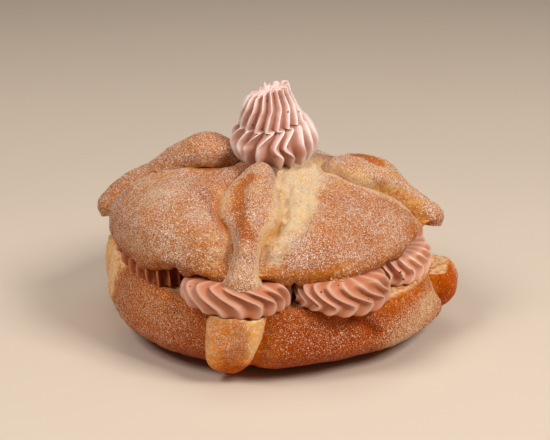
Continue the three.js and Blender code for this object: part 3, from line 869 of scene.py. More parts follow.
def lid_browning(rows, marks):
    ragged = lumpy(rows, LID_FLANK_EDGE)
    out_from_front = np.maximum(marks.flanks["front"], 0)
    # painted shade in the fold beside the front bone
    fold = hill(out_from_front / FRONT_FOLD["width"]) * ease(marks.reach, *FRONT_FOLD["span"])
    darkening = VALLEY_BAKED * ease(marks.reach, *VALLEY_BAKED_SPAN)
    pale = marks.valley * (1 - darkening) * (1 - FRONT_FOLD["shade"] * fold)
    for place, share in LID_FLANK_PALE.items():
        beside = 1 - ease(marks.flanks[place] + ragged, *LID_FLANK_FADE)
        pale = np.maximum(pale, share * beside)
    warmth = FRONT_WARMTH["tone"] * hill(out_from_front / FRONT_WARMTH["width"])
    # the forms' tones include painted shade in the hollow
    tone = lumpy(rows, LID_TONE) + LOW_TONE * marks.low + sum_of_forms(marks, "tone")
    tone = tone + warmth + BAND["tone"] * marks.band
    return np.clip(LID_BROWN + tone, 0, 1) * (1 - pale)


def lid_coat(rows, marks):
    """How thick the sugar lies on the upper half."""
    clumps = np.max([near_spot(rows, spot, CLUMP_WIDTH) for spot in on_lid(LID_CLUMPS)], axis=0)
    patchy = LID_COAT + lumpy(rows, LID_PATCHES) + CLUMP_COAT * clumps
    bare = np.maximum(BAND["bare"] * marks.band, LOW_BARE * marks.low)
    thick = (1 - bare) * (1 - marks.cut) * (1 + VALLEY_COAT * marks.valley) * patchy
    return np.clip(thick, 0, LID_COAT_MOST)


def build_lid():
    rows, cut = lid_rows()
    marks = lid_marks(rows, cut)
    rows = ragged_rim(pushed(rows, lid_relief(rows, marks)), marks)
    mark_lid_bands(rows, marks)
    sugar = lid_coat(rows, marks)
    masks = dict(browning=lid_browning(rows, marks), sugar=np.minimum(sugar, 1), crumb=cut)
    flank = np.min(list(marks.flanks.values()), axis=0)
    want = sugar * ease(flank, *LID_COAT_START) * (1 - PINCH_BARE * marks.pinch)
    return skin("lid_bread", rows, masks), rows, want


# The lower half

def base_line():
    """The lower half's profile as (radius, height), and its first row on the cut face."""
    rim = BASE_RADIUS * BASE_RIM_SHARE
    inner = rim - CUT_EDGE
    flare, flare_height = BASE_FLARE
    side = through(((FOOT_RADIUS, 0), (BASE_RADIUS * flare, BASE_WIDEST_AT * flare_height),
                    (BASE_RADIUS, BASE_WIDEST_AT),
                    (BASE_RADIUS * BASE_UPPER_SHARE, (BASE_WIDEST_AT + BASE_CUT) / 2),
                    (rim, BASE_CUT - CUT_EDGE), (inner, BASE_CUT)), WALL_STEPS)
    foot = evenly(((HUB_RADIUS, 0), (FOOT_RADIUS, 0)), FOOT_ROWS)[:-1]
    wall = evenly(side, WALL_ROWS)
    inward = np.linspace(0, 1, CUT_ROWS) ** CUT_CROWDING
    cut = np.stack([inner - (inner - HUB_RADIUS) * inward, np.full(CUT_ROWS, BASE_CUT)], -1)[1:]
    return np.concatenate([foot, wall, cut]), len(foot) + len(wall)


def base_rows():
    """The lower half's plain form in rows, and how far each place is on its cut face."""
    line, first_cut = base_line()
    around = bearings(BASE_SIDES)[None, :]
    share = 1 + lobe_sum(around, "base_swell") * ease(line[:, 1:], 0, BASE_WIDEST_AT) / BASE_RADIUS
    reach = line[:, :1] * share
    x = reach * cosine(around)
    z = line[:, 1:] * base_cut_at(x) / BASE_CUT
    rim = ease(line[:, :1], *LIP_REACH) * ease(line[:, 1:], *LIP_RISE)
    for bearing, spread, lip in BASE_LIPS:
        z = z + lip * hill(apart(around, bearing) / spread) * rim
    row = np.arange(len(line))[:, None]
    sliced = ease(around, *SLICE_START) * (1 - ease(around, *SLICE_END))
    cut = ease(row - first_cut + SLICE_ROWS * sliced, *CUT_FADE)
    return np.stack([x, reach * sine(around), z], -1), cut


def beside_stub(points, stub):
    """How far points lie out from what the knife left of a bone."""
    outward = outward_at(stub["bearing"])
    along = points[..., 0] * outward[0] + points[..., 1] * outward[1]
    across = points[..., 1] * outward[0] - points[..., 0] * outward[1]
    depth = base_cut_at(outward[0] * BASE_RADIUS) - points[..., 2]
    stations = np.array(stub["stations"], float)
    half = np.interp(depth, stations[:, 0], stations[:, 2])
    below = np.maximum(depth - stations[-1, 0], 0)
    gap = np.hypot(np.maximum(np.abs(across) - half, 0), below)
    return np.where(along > 0, gap, BASE_RADIUS)


def near_form(rows, form):
    return near_line(rows, at_places(form["line"]), form["width"])


def base_marks(rows, cut):
    """Where everything lies on the lower half, measured on its plain form."""
    marks = SimpleNamespace(cut=cut)
    marks.crease = near_form(rows, BASE_CREASE)
    marks.bulge = near_form(rows, BULGE_SUGAR)
    marks.flank = np.min([beside_stub(rows, stub) for stub in BASE_BONES.values()], axis=0)
    return marks


def base_relief(rows, marks):
    """The lower half's lumps, crease, crack and bulge, and the pores of its cut face."""
    wall = (1 - marks.cut) * ease(rows[..., 2], *WALL_RISE) * ease(reach_of(rows), *WALL_REACH)
    bulge_end = near_spot(rows, at_places((BULGE_END["spot"],)), BULGE_END["width"])
    swell = BASE_BULGE["height"] * near_form(rows, BASE_BULGE) + BULGE_END["height"] * bulge_end
    sunk = BASE_CREASE["depth"] * marks.crease + BASE_CRACK["depth"] * near_form(rows, BASE_CRACK)
    pinched = STUB_PINCH["depth"] * hill(marks.flank / STUB_PINCH["width"])
    side = lumpy(rows, BASE_DOUGH) + swell - sunk - pinched
    return wall * side + marks.cut * crumb_pores(rows, **BASE_PORES)


def mark_base_patches(rows, marks):
    """Adds the pale strip under the slice and the pale far left."""
    height = rows[..., 2]
    marks.bearing = bearing_of(rows)
    under_slice = ease(height + lumpy(rows, SLICED_EDGE), *SLICED["span"])
    marks.sliced = hill(apart(marks.bearing, SLICED["bearing"]) / SLICED["spread"]) * under_slice
    edge = LEFT_PALE["bearing"] - LEFT_PALE["slope"] * (LEFT_PALE["height"] - height)
    past = marks.bearing - edge + lumpy(rows, LEFT_PALE_EDGE)
    marks.left_pale = (1 - ease(past, *LEFT_PALE["span"])) * (marks.bearing < 0)


def base_browning(rows, marks):
    height = rows[..., 2]
    beside = 1 - ease(marks.flank + lumpy(rows, BESIDE_STUB_EDGE), *BESIDE_STUB["span"])
    unbaked = np.max([BESIDE_STUB["pale"] * beside,
                      BASE_PULLED["pale"] * near_form(rows, BASE_PULLED),
                      LEFT_PALE["pale"] * marks.left_pale,
                      SLICED["pale"] * marks.sliced,
                      BULGE_SUGAR["pale"] * marks.bulge], axis=0)
    low = 1 - ease(height, *BASE_LOW["span"])
    # painted shade on the upper wall under the overhanging cream
    darkening = hill(apart(marks.bearing, BASE_PAINTED_SHADE["bearing"]) / BASE_PAINTED_SHADE["spread"])
    darkening = darkening * ease(height, *BASE_PAINTED_SHADE["span"])
    tone = lumpy(rows, BASE_TONE) + BASE_LOW["tone"] * low + BASE_PAINTED_SHADE["tone"] * darkening
    # painted shade along the crease
    tone = tone + BASE_CREASE["tone"] * marks.crease
    return np.clip(BASE_BROWN + tone, 0, 1) * (1 - UNBAKED_SHARE * unbaked)


def base_coat(rows, marks):
    """How thick the sugar lies on the lower half."""
    height = rows[..., 2]
    leftward = -marks.bearing
    left = ease(leftward, *LEFT_SIDE["start"]) * (1 - ease(leftward, *LEFT_SIDE["end"]))
    left = left * ease(height, *LEFT_SIDE["rise"])
    back = hill(apart(marks.bearing, BACK_SIDE["bearing"]) / BACK_SIDE["spread"])
    thick = BASE_COAT + lumpy(rows, BASE_PATCHES)
    thick = thick + BULGE_SUGAR["coat"] * marks.bulge + LEFT_SIDE["coat"] * left
    bared = ((BACK_SIDE, back), (BASE_CREASE, marks.crease), (LEFT_PALE, marks.left_pale),
             (SLICED, marks.sliced))
    for form, share in bared:
        thick = thick * (1 - form["bare"] * share)
    foot = FOOT_COAT + (1 - FOOT_COAT) * ease(height, *FOOT_COAT_RISE)
    return np.clip((1 - marks.cut) * thick, 0, BASE_COAT_MOST) * foot


def build_base():
    rows, cut = base_rows()
    marks = base_marks(rows, cut)
    rows = pushed(rows, base_relief(rows, marks))
    rows[..., 2] = np.maximum(rows[..., 2], 0)
    mark_base_patches(rows, marks)
    sugar = base_coat(rows, marks)
    masks = dict(browning=base_browning(rows, marks), sugar=BASE_DUST * np.minimum(sugar, 1), crumb=cut)
    want = sugar * ease(marks.flank, *BASE_COAT_START) * ease(rows[..., 2], *FLOOR_COAT_START)
    return skin("base_bread", rows, masks), rows, want


# The bones

def bone_rows(bone):
    line = through(bone["stations"], BONE_ROWS)
    outward = outward_at(bone["bearing"])
    side = np.cross(UP, outward)
    step = steadied(np.gradient(line, axis=0), BONE_STEADY)
    along = outward * step[:, :1] + UP * step[:, 1:2]
    along /= np.linalg.norm(along, axis=1, keepdims=True)
    up = np.cross(along, side)
    stray = along_table(bone["sway"], line[:, :1])
    centre = outward * line[:, :1] + UP * line[:, 1:2] - up * BONE_SINK / 2 + side * stray
    centre[:, 0] += LID_SHIFT
    turn = bearings(BONE_SIDES)
    power = np.where(turn > 0, TOP_ROUNDNESS, SQUARENESS)
    across = fuller(cosine(turn), power)[None, :, None] * side * line[:, None, 2:]
    rise = fuller(sine(turn), power)[None, :, None] * up[:, None, :] * BONE_SINK / 2
    return centre[:, None, :] + across + rise


def front_bone(rows, above, across, ragged, pale):
    """Bare along its left face, and pale low on its right flank."""
    face = from_line(rows, FRONT_FACE["line"])[0] + FRONT_FACE["ragged"] * ragged
    bare = FRONT_FACE["bare"] * (1 - ease(face, *FRONT_FACE["span"]))
    flank = (1 - ease(above + ragged, *FRONT_FLANK["rise"])) * ease(across, *FRONT_FLANK["across"])
    return bare, np.maximum(pale, FRONT_FLANK["pale"] * flank), FRONT_FACE["tone"] * bare


def right_bone(rows, above, across, ragged, pale):
    """Bare on top of its knob and along its front flank, which is golden towards the outer end."""
    top = 1 - ease(from_line(rows, RIGHT_TOP["line"])[0] + ragged, *RIGHT_TOP["span"])
    flank = 1 - ease(above + RIGHT_FLANK["ragged"] * ragged, *RIGHT_FLANK["rise"])
    flank = flank * (1 - ease(across, *RIGHT_FLANK["across"]))
    outer = ease(rows[..., 0] - LID_SHIFT + RIGHT_OUTER["ragged"] * ragged, *RIGHT_OUTER["reach"])
    bare = np.maximum(top, (RIGHT_FLANK["bare"] + RIGHT_OUTER["bare"] * outer) * flank)
    pale = np.maximum(pale, RIGHT_FLANK["pale"] * flank) * (1 - RIGHT_OUTER["darkening"] * outer)
    tone = RIGHT_TOP["tone"] * top + (RIGHT_FLANK["tone"] + RIGHT_OUTER["tone"] * outer) * flank
    return bare, pale, tone


def left_bone(rows, above, across, ragged, pale):
    """Thinly sugared, browner all over with painted shade, and barer and paler on its front flank."""
    flank = (1 - ease(above + ragged, *LEFT_FLANK["rise"])) * ease(across, *LEFT_FLANK["across"])
    bare = np.maximum(LEFT_FLANK["bare"] * flank, LEFT_TOP["bare"])
    return bare, pale, LEFT_TOP["tone"] + LEFT_FLANK["tone"] * flank


BONE_LOOKS = {"front": front_bone, "right": right_bone, "left": left_bone}


def bone_finish(place, rows, above):
    """How bare and how pale a bone is, and how much browner than usual."""
    ragged = lumpy(rows, BONE_EDGE)
    pale = BONE_FOOT["pale"] * (1 - ease(above + ragged, *BONE_FOOT["span"]))
    if place not in BONE_LOOKS:
        return 0 * above, pale, 0 * above
    side = np.cross(UP, outward_at(LID_BONES[place]["bearing"]))
    across = (rows[..., 0] - LID_SHIFT) * side[0] + rows[..., 1] * side[1]
    return BONE_LOOKS[place](rows, above, across, ragged, pale)


def build_bone(place):
    rows = bone_rows(LID_BONES[place])
    bare, pale, tone = bone_finish(place, rows, above_lid(rows))
    relief = lumpy(rows, BONE_DOUGH) - BARE_SINK * bare
    if place == "front":
        relief = relief + BONE_RIDGE["height"] * near_line(rows, BONE_RIDGE["line"], BONE_RIDGE["width"])
    rows = pushed(rows, relief)
    knife = LID_CUT + CLEARANCE + lumpy(rows, KNIFE_EDGE) - FRONT_KNIFE_DROP * (place == "front")
    below, above = KNIFE_BAND
    at_knife = 1 - ease(rows[..., 2], knife - below, knife + above)
    rows[..., 2] = np.maximum(rows[..., 2], knife)
    brown = np.clip(BONE_BROWN + lumpy(rows, BONE_TONE) + tone, 0, 1) * (1 - pale)
    thick = (1 - BONE_BARE * bare) * (BONE_COAT + lumpy(rows, BONE_PATCHES)) * (1 - at_knife)
    sugar = np.clip(thick, 0, BONE_COAT_MOST)
    masks = dict(browning=brown, sugar=np.minimum(sugar, 1), crumb=at_knife)
    return skin(place + "_bone", rows, masks), rows, sugar * ease(above_lid(rows), *BONE_COAT_START)


# What the knife left of the bones below

def stub_rows(stub):
    line = through(stub["stations"], STUB_ROWS)
    outward = outward_at(stub["bearing"])
    side = np.cross(UP, outward)
    top = base_cut_at(outward[0] * BASE_RADIUS)
    lean, slant = stub["lean"]
    depth = line[:, :1]
    centre = outward * (line[:, 1:2] - BONE_SINK) + UP * (top - depth) + side * (lean + slant * depth)
    turn = bearings(STUB_SIDES)
    across = fuller(cosine(turn), stub["square"])[None, :, None] * side * line[:, None, 2:]
    out = fuller(sine(turn), stub["square"])[None, :, None] * outward * BONE_SINK
    rows = centre[:, None, :] + across + out
    inward = np.linspace(STUB_CAP_HUB, 1, STUB_CAP_ROWS, endpoint=False)[:, None, None]
    cap = centre[0] + (rows[:1] - centre[0]) * inward
    foot = centre[-1] + (rows[-1:] - centre[-1]) * inward[::-1]
    foot[..., 2] -= STUB_FOOT_ROUNDING * (1 - inward[::-1, :, 0] ** 2)
    foot[..., 2] = np.maximum(foot[..., 2], CLEARANCE)
    return np.concatenate([cap, rows, foot])


def front_stub(rows, across, ragged, pale):
    """Bare and browner towards its end, pale at both sides, with a scoop down its face."""
    height = rows[..., 2]
    scoop = near_line(rows, STUB_SCOOP["line"], STUB_SCOOP["width"])
    right = ease(across + ragged, *FRONT_STUB_RIGHT["across"])
    left = ease(ragged - across, *FRONT_STUB_LEFT["across"])
    low = 1 - ease(height + FRONT_STUB_LOW["ragged"] * ragged, *FRONT_STUB_LOW["span"])
    bare = FRONT_STUB_LOW["bare"] * low * (1 - FRONT_STUB_RIGHT["coat"] * right)
    pale = np.max([FRONT_STUB_RIGHT["pale"] * right, FRONT_STUB_LEFT["pale"] * left,
                   pale * ease(height, *FRONT_STUB_PALE_RISE)], axis=0)
    end = 1 - ease(height + ragged, *FRONT_STUB_END["span"])
    tone = STUB_SCOOP["tone"] * scoop + lumpy(rows, FRONT_STUB_TONE) + FRONT_STUB_END["tone"] * end
    return bare, pale, tone, STUB_SCOOP["depth"] * scoop


def right_stub(rows, across, ragged, pale):
    """Bare and browner on the part that turns to the front."""
    turned = 1 - ease(bearing_of(rows) + RIGHT_STUB["ragged"] * ragged, *RIGHT_STUB["span"])
    bare = RIGHT_STUB["bare"] * turned
    return bare, RIGHT_STUB["pale"] * pale, RIGHT_STUB["tone"] * bare, 0 * across


def left_stub(rows, across, ragged, pale):
    return 0 * across, np.maximum(pale, LEFT_STUB_PALE), 0 * across, 0 * across


def back_stub(rows, across, ragged, pale):
    return 0 * across, pale, 0 * across, 0 * across


STUB_LOOKS = {"front": front_stub, "right": right_stub, "back": back_stub, "left": left_stub}


def stub_finish(place, rows):
    """How bare and how pale a stub is, how much browner than usual, and how far it is hollowed."""
    outward = outward_at(BASE_BONES[place]["bearing"])
    out = rows[..., 0] * outward[0] + rows[..., 1] * outward[1]
    across = rows[..., 1] * outward[0] - rows[..., 0] * outward[1]
    ragged = lumpy(rows, STUB_EDGE)
    pale = STUB_FLANK["pale"] * (1 - ease(out + STUB_FLANK["ragged"] * ragged, *STUB_FLANK["span"]))
    return STUB_LOOKS[place](rows, across, ragged, pale)


def build_stub(place):
    rows = stub_rows(BASE_BONES[place])
    rim = STUB_CAP_ROWS + (place in SHOWN_STUBS)
    cut = np.repeat(1 - ease(np.arange(len(rows)), rim - STUB_CUT_FADE, rim)[:, None], STUB_SIDES, 1)
    bare, pale, tone, hollow = stub_finish(place, rows)
    side = lumpy(rows, STUB_DOUGH) - hollow
    rows = pushed(rows, (1 - cut) * side + cut * crumb_pores(rows, **STUB_PORES))
    rows[..., 2] = np.maximum(rows[..., 2], CLEARANCE)
    brown = np.clip(STUB_BROWN + lumpy(rows, STUB_TONE) + tone, 0, 1) * (1 - pale)
    sugar = np.clip((1 - cut) * (STUB_COAT + lumpy(rows, STUB_PATCHES)) * (1 - bare), 0, 1)
    masks = dict(browning=brown, sugar=BASE_DUST * sugar, crumb=cut)
    return skin(place + "_stub", rows, masks), rows, sugar * ease(reach_of(rows), *STUB_COAT_START)


# The piped cream

def ridges(angle, count, blunt):
    """1 along the crest of each ridge and 0 along the bottom of each furrow."""
    fall = np.sqrt(sine(angle * count / 2) ** 2 + blunt ** 2) - blunt
    return 1 - fall / (np.sqrt(1 + blunt ** 2) - blunt)


def piped_rows(line, count, blunt, depth, turn):
    """Rows of places round a profile drawn into ridges. Depth is for each row, and turn for each place."""
    angle = bearings(count * SWIRL_RIDGE_SIDES)[None, :]
    crest = np.repeat(ridges(angle, count, blunt), len(line), 0)
    share, size = FURROW_UNEVEN
    uneven = 1 + share * lumps(np.stack([cosine(angle), sine(angle), 0 * angle], -1), size, count)
    reach = line[:, :1] - depth[:, None] * (1 - crest) * uneven
    lean = angle + turn(angle, line[:, 1:])
    height = np.repeat(line[:, 1:], angle.shape[1], 1)
    return np.stack([reach * cosine(lean), reach * sine(lean), height], -1), crest


def swirl_turn(swirl):
    """How a swirl's ridges slant: in another way towards its right side, and upright at that end."""
    right_turn = swirl.get("right_turn", swirl["turn"])

    def turn(angle, height):
        right = ease(angle, *RIGHT_SPAN)
        upright = ease(angle, *UPRIGHT_SPAN) * (1 - ease(angle, *SLANT_SPAN))
        share = height / CREAM_GAP
        slant = along_table(swirl["turn"], share) * (1 - right) + along_table(right_turn, share) * right
        return slant * (1 - UPRIGHT_SHARE * upright)

    return turn


def furrow_depth(line, radius):
    """How deep the furrows are at each row of a squashed swirl."""
    share = np.clip(line[:, 1] / CREAM_GAP, 0, 1)
    least, full_at = FURROW_FOOT
    lost, lost_from = FURROW_TOP
    shown = (least + (1 - least) * ease(share, 0, full_at)) * (1 - lost * ease(share, lost_from, 1))
    return SWIRL_DEPTH * shown * (line[:, 0] / radius) ** FURROW_TAPER


def squashed_rows(swirl, radius, ring):
    """A swirl pressed between the halves, with its middle at ring from the bun's, and wider outwards."""
    line = evenly(through(SWIRL_PROFILE, CURVE_STEPS) * (radius, CREAM_GAP), SWIRL_ROWS)
    depth = furrow_depth(line, radius)
    rows, crest = piped_rows(line, swirl["ridges"], SWIRL_BLUNT, depth, swirl_turn(swirl))
    angle = bearing_of(rows)
    box = (np.abs(cosine(angle)) ** BOX_POWER + np.abs(sine(angle)) ** BOX_POWER) ** (-1 / BOX_POWER)
    plan = 1 + swirl["boxy"] * (box - 1)
    wedge = 1 / ring if ring else 0
    x = rows[..., 0] * plan
    y = rows[..., 1] * plan * swirl["side"] / radius * (1 + wedge * x)
    outward = outward_at(swirl["bearing"])
    far = (ring + x) * outward[0] - y * outward[1]
    near = (ring + x) * outward[1] + y * outward[0]
    droop = SWIRL_DROOP * ease(np.hypot(far, near), *DROOP_SPAN)
    low = base_cut_at(far) + CLEARANCE - droop
    height = low + (LID_CUT - CLEARANCE - low) * rows[..., 2] / CREAM_GAP
    return np.stack([far, near, height], -1), crest


def smeared(rows, seed):
    soft = sum(height * lumps(rows, size, seed + i) for i, (height, size) in enumerate(CREAM_SMEAR))
    return pushed(rows, soft)


def build_swirl(number, swirl):
    ring = (swirl["reach"] + SWIRL_INNER) / 2
    rows, crest = squashed_rows(swirl, ring - SWIRL_INNER, ring)
    rows = smeared(rows, SWIRL_SEED + number)
    return skin("piped_swirl_%d" % number, rows, dict(crest=crest)), rows


def build_middle():
    rows, crest = squashed_rows(MIDDLE, MIDDLE_RADIUS, 0)
    return skin("cream_bed", rows, dict(crest=crest))


def crown_turn(angle, height):
    """How far each ridge is turned: a slant of its own below the ledge, and one sway for all above it."""
    ridge = angle * CROWN_RIDGES / FULL_TURN
    seen = FIRST_SLANT + np.arange(len(CROWN_SLANTS))
    known = np.concatenate([[-CROWN_RIDGES, seen[0] - SLANT_MARGIN], seen,
                            [seen[-1] + SLANT_MARGIN, CROWN_RIDGES]])
    columns = zip(USUAL_SLANT, np.array(CROWN_SLANTS, float).T)
    foot, waist, tip = (np.interp(ridge, known, np.concatenate([[usual, usual], column, [usual, usual]]))
                        for usual, column in columns)
    rise = np.clip((height - CROWN_WAIST) / (CROWN_LEDGE - CROWN_WAIST), 0, 1)
    below = foot + (waist - foot) * ease(height, CROWN_FOOT, CROWN_WAIST) + (tip - waist) * rise ** 2
    above = along_table(CROWN_SWAY, height)
    return CROWN_FACING + np.where(height < CROWN_LEDGE, below, above + 0 * angle)


def crown_tear(rows):
    """The height at which the crown swirl is torn off."""
    middle, tilt = CROWN_TEAR
    tear = middle + tilt * rows[..., 0] + lumpy(rows, CROWN_TATTERS)
    for x, y, height, width in CROWN_PEAKS:
        tear = tear + height * hill(np.hypot(rows[..., 0] - x, rows[..., 1] - y) / width)
    return tear


def build_crown():
    line = evenly(through(CROWN_PROFILE, PROFILE_STEPS), CROWN_ROWS)
    depth = CROWN_DEPTH * (line[:, 0] / line[:, 0].max()) ** FURROW_TAPER
    rows, crest = piped_rows(line, CROWN_RIDGES, CROWN_BLUNT, depth, crown_turn)
    tilt_x, tilt_y, fade = CROWN_LEDGE_TILT
    tilted = hill((rows[..., 2] - CROWN_LEDGE) / fade)
    rows[..., 2] += CROWN_BASE + tilted * (tilt_x * rows[..., 0] + tilt_y * rows[..., 1])
    rows[..., 0] += along_table(CROWN_DRIFT, rows[..., 2] - CROWN_BASE)
    rows = smeared(rows, CROWN_SEED)
    tear = crown_tear(rows)
    torn = ease(rows[..., 2], tear - TORN_BAND, tear)
    rows[..., 2] = np.minimum(rows[..., 2], tear)
    return skin("crown_swirl", rows, dict(crest=np.maximum(crest, TORN_CREST * torn))), rows


# Sugar, crumbs and flecks

def worth_of(rows, want):
    """How much each cell of a skin takes: its area times what it wants."""
    beside = np.roll(rows, -1, axis=1)
    spread = np.cross(beside[1:] - rows[:-1], rows[1:] - beside[:-1])
    return np.linalg.norm(spread, axis=-1) / 2 * (want[:-1] + want[1:]) / 2


def scatter(rows, want, count, draw):
    """Random spots on a skin, closest where it wants most, with the way it faces and what it wants there."""
    normals = facing(rows)
    cells = worth_of(rows, want)
    worth = np.cumsum(cells.ravel())
    chosen = np.searchsorted(worth, draw.random(count) * worth[-1])
    i, j = np.unravel_index(chosen, cells.shape)
    u, v = draw.random((2, count, 1))
    k = (j + 1) % rows.shape[1]
    spots, ways = ((grid[i, j] * (1 - u) + grid[i + 1, j] * u) * (1 - v)
                   + (grid[i, k] * (1 - u) + grid[i + 1, k] * u) * v for grid in (rows, normals))
    return spots, ways / (np.linalg.norm(ways, axis=1, keepdims=True) + TINY), want[i, j]


def random_turns(count, draw):
    q = draw.normal(size=(count, 4))
    q /= np.linalg.norm(q, axis=1, keepdims=True)
    w, x, y, z = q.T
    rows = [[1 - 2 * (y * y + z * z), 2 * (x * y - w * z), 2 * (x * z + w * y)],
            [2 * (x * y + w * z), 1 - 2 * (x * x + z * z), 2 * (y * z - w * x)],
            [2 * (x * z - w * y), 2 * (y * z + w * x), 1 - 2 * (x * x + y * y)]]
    return np.array(rows).transpose(2, 0, 1)


def standing_turns(ways, draw):
    """Turns that stand each grain up on the skin, spun at random."""
    across = np.cross(ways, draw.normal(size=ways.shape))
    across /= np.linalg.norm(across, axis=1, keepdims=True) + TINY
    return np.stack([across, np.cross(ways, across), ways], -1)


def grains(name, spots, sizes, turns, draw, corners, faces, smooth=False, ways=None, clearness=1.0):
    """Many small closed grains joined into one piece, shaded along ways where they are given."""
    count = len(spots)
    stretch = draw.uniform(*GRAIN_STRETCH, (count, 1, 3))
    shape = corners[None] * stretch * sizes[:, None, None]
    turned = np.einsum("nij,nkj->nki", turns, shape)
    points = (turned + spots[:, None, :]).reshape(-1, 3)
    index = (faces[None] + np.arange(count)[:, None, None] * len(corners)).reshape(-1, 3)
    masks = dict(tint=np.repeat(draw.random(count) ** clearness, len(corners)))
    if ways is not None:
        tilted = ways + GRAIN_LIFT * UP + GRAIN_TILT * draw.normal(size=ways.shape)
        tilted /= np.linalg.norm(tilted, axis=1, keepdims=True)
        masks["facing"] = np.repeat(tilted, len(corners), axis=0)
    return make_piece(name, points, index.tolist(), masks, smooth)


def sugar_coat(name, carriers, count, sizes, clearness, draw):
    """Sugar over several skins, shared out by how much each one takes, and whiter where it lies thick."""
    worth = np.array([worth_of(rows, want).sum() for rows, want in carriers])
    found = [scatter(rows, want, int(count * share), draw)
             for (rows, want), share in zip(carriers, worth / sum(worth))]
    spots, ways, thick = (np.concatenate(column) for column in zip(*found))
    size = sizes[0] + (sizes[1] - sizes[0]) * draw.random(len(spots)) ** SMALL_BIAS
    spots = spots + ways * (size * GRAIN_RAISE)[:, None]
    turns = standing_turns(ways, draw)
    clear_here = np.interp(thick, THICKNESS_SPAN, clearness)
    return grains(name, spots, size, turns, draw, BEAD_CORNERS, BEAD_FACES, True, ways, clear_here)


def nearest(places, spot):
    return places[np.linalg.norm(places - spot, axis=1).argmin()]


def build_crumbs(lid, draw):
    """Loose crumbs along the cut rim and the edge beside the right bone, each a cluster of lumps."""
    wanted = np.concatenate([at_places(RIM_CRUMBS, LID_SHIFT), on_lid(EDGE_CRUMBS)])
    places = lid.reshape(-1, 3)
    spots = np.concatenate([nearest(places, spot) + draw.normal(size=(CRUMB_LUMPS, 3)) * CRUMB_SPREAD
                            for spot in wanted])
    sizes = draw.uniform(*CRUMB_SIZES, len(spots))
    turns = random_turns(len(spots), draw)
    return grains("loose_crumbs", spots, sizes, turns, draw, OCTA_CORNERS, OCTA_FACES, True)


def build_flecks(skins, draw):
    spots = []
    for where, wanted in FLECKS.items():
        places = np.concatenate([rows.reshape(-1, 3) for rows in skins[where]])
        spots += [nearest(places, spot) for spot in wanted]
    sizes = draw.uniform(*FLECK_SIZES, len(spots))
    turns = random_turns(len(spots), draw)
    return grains("cream_flecks", np.array(spots), sizes, turns, draw, OCTA_CORNERS, OCTA_FACES)


# Shader nodes

BRIGHTEST = 255
DARK_END = 0.04045  # up to here the usual colour values run straight, and above it along a curve
DARK_SLOPE = 12.92
CURVE_OFFSET = 0.055
CURVE_POWER = 2.4


def linear(value):
    share = value / BRIGHTEST
    if share <= DARK_END:
        return share / DARK_SLOPE
    return ((share + CURVE_OFFSET) / (1 + CURVE_OFFSET)) ** CURVE_POWER


def colour(red, green, blue):
    """A linear colour from the usual 0 to 255 values."""
    return linear(red), linear(green), linear(blue), 1.0


def shader_group(name, inputs, outputs):
    tree = bpy.data.node_groups.new(name, "ShaderNodeTree")
    for socket, kind in inputs:
        tree.interface.new_socket(socket, in_out="INPUT", socket_type=kind)
    for socket, kind in outputs:
        tree.interface.new_socket(socket, in_out="OUTPUT", socket_type=kind)
    return tree, tree.nodes.new("NodeGroupInput").outputs, tree.nodes.new("NodeGroupOutput")


def wire(tree, node, inputs):
    """Links each input of a node to an output, or sets it to a value."""
    for socket, value in inputs.items():
        if isinstance(value, bpy.types.NodeSocket):
            tree.links.new(value, node.inputs[socket])
        else:
            node.inputs[socket].default_value = value


def put(tree, kind, inputs, **settings):
    """A new node with its settings and its inputs."""
    node = tree.nodes.new(kind)
    for name, value in settings.items():
        setattr(node, name, value)
    wire(tree, node, inputs)
    return node


def maths(tree, operation, *values, clamp=False):
    inputs = dict(enumerate(values))
    return put(tree, "ShaderNodeMath", inputs, operation=operation, use_clamp=clamp).outputs[0]


MIX_FACTOR, MIX_A, MIX_B = 0, 6, 7  # where the Mix node has its factor and its two colours
MIX_RESULT = 2


def blend(tree, factor, a, b):
    """Colour a where the factor is 0, and colour b where it is 1."""
    inputs = {MIX_FACTOR: factor, MIX_A: a, MIX_B: b}
    return put(tree, "ShaderNodeMix", inputs, data_type="RGBA").outputs[MIX_RESULT]


def ramp(tree, value, span, to=(0.0, 1.0)):
    """Goes from the first value of to, at the start of the span, to the second, at its end."""
    limits = {"Value": value, "From Min": span[0], "From Max": span[1], "To Min": to[0], "To Max": to[1]}
    return put(tree, "ShaderNodeMapRange", limits).outputs[0]


def own_place(tree):
    return put(tree, "ShaderNodeTexCoord", {}).outputs["Object"]


def object_noise(tree, size, detail=2.0):
    inputs = {"Vector": own_place(tree), "Scale": 1 / (size * MM), "Detail": detail}
    return put(tree, "ShaderNodeTexNoise", inputs).outputs["Fac"]


def bump(tree, strength, depth, height):
    inputs = {"Strength": strength, "Distance": depth * MM, "Height": height}
    return put(tree, "ShaderNodeBump", inputs).outputs[0]


def painted(tree, name):
    """A mask that a mesh carries."""
    return put(tree, "ShaderNodeAttribute", {}, attribute_name=name).outputs["Fac"]


# Effects that several finishes share

FLOAT = "NodeSocketFloat"
COLOUR = "NodeSocketColor"
MIDDLE_GREY = 0.5


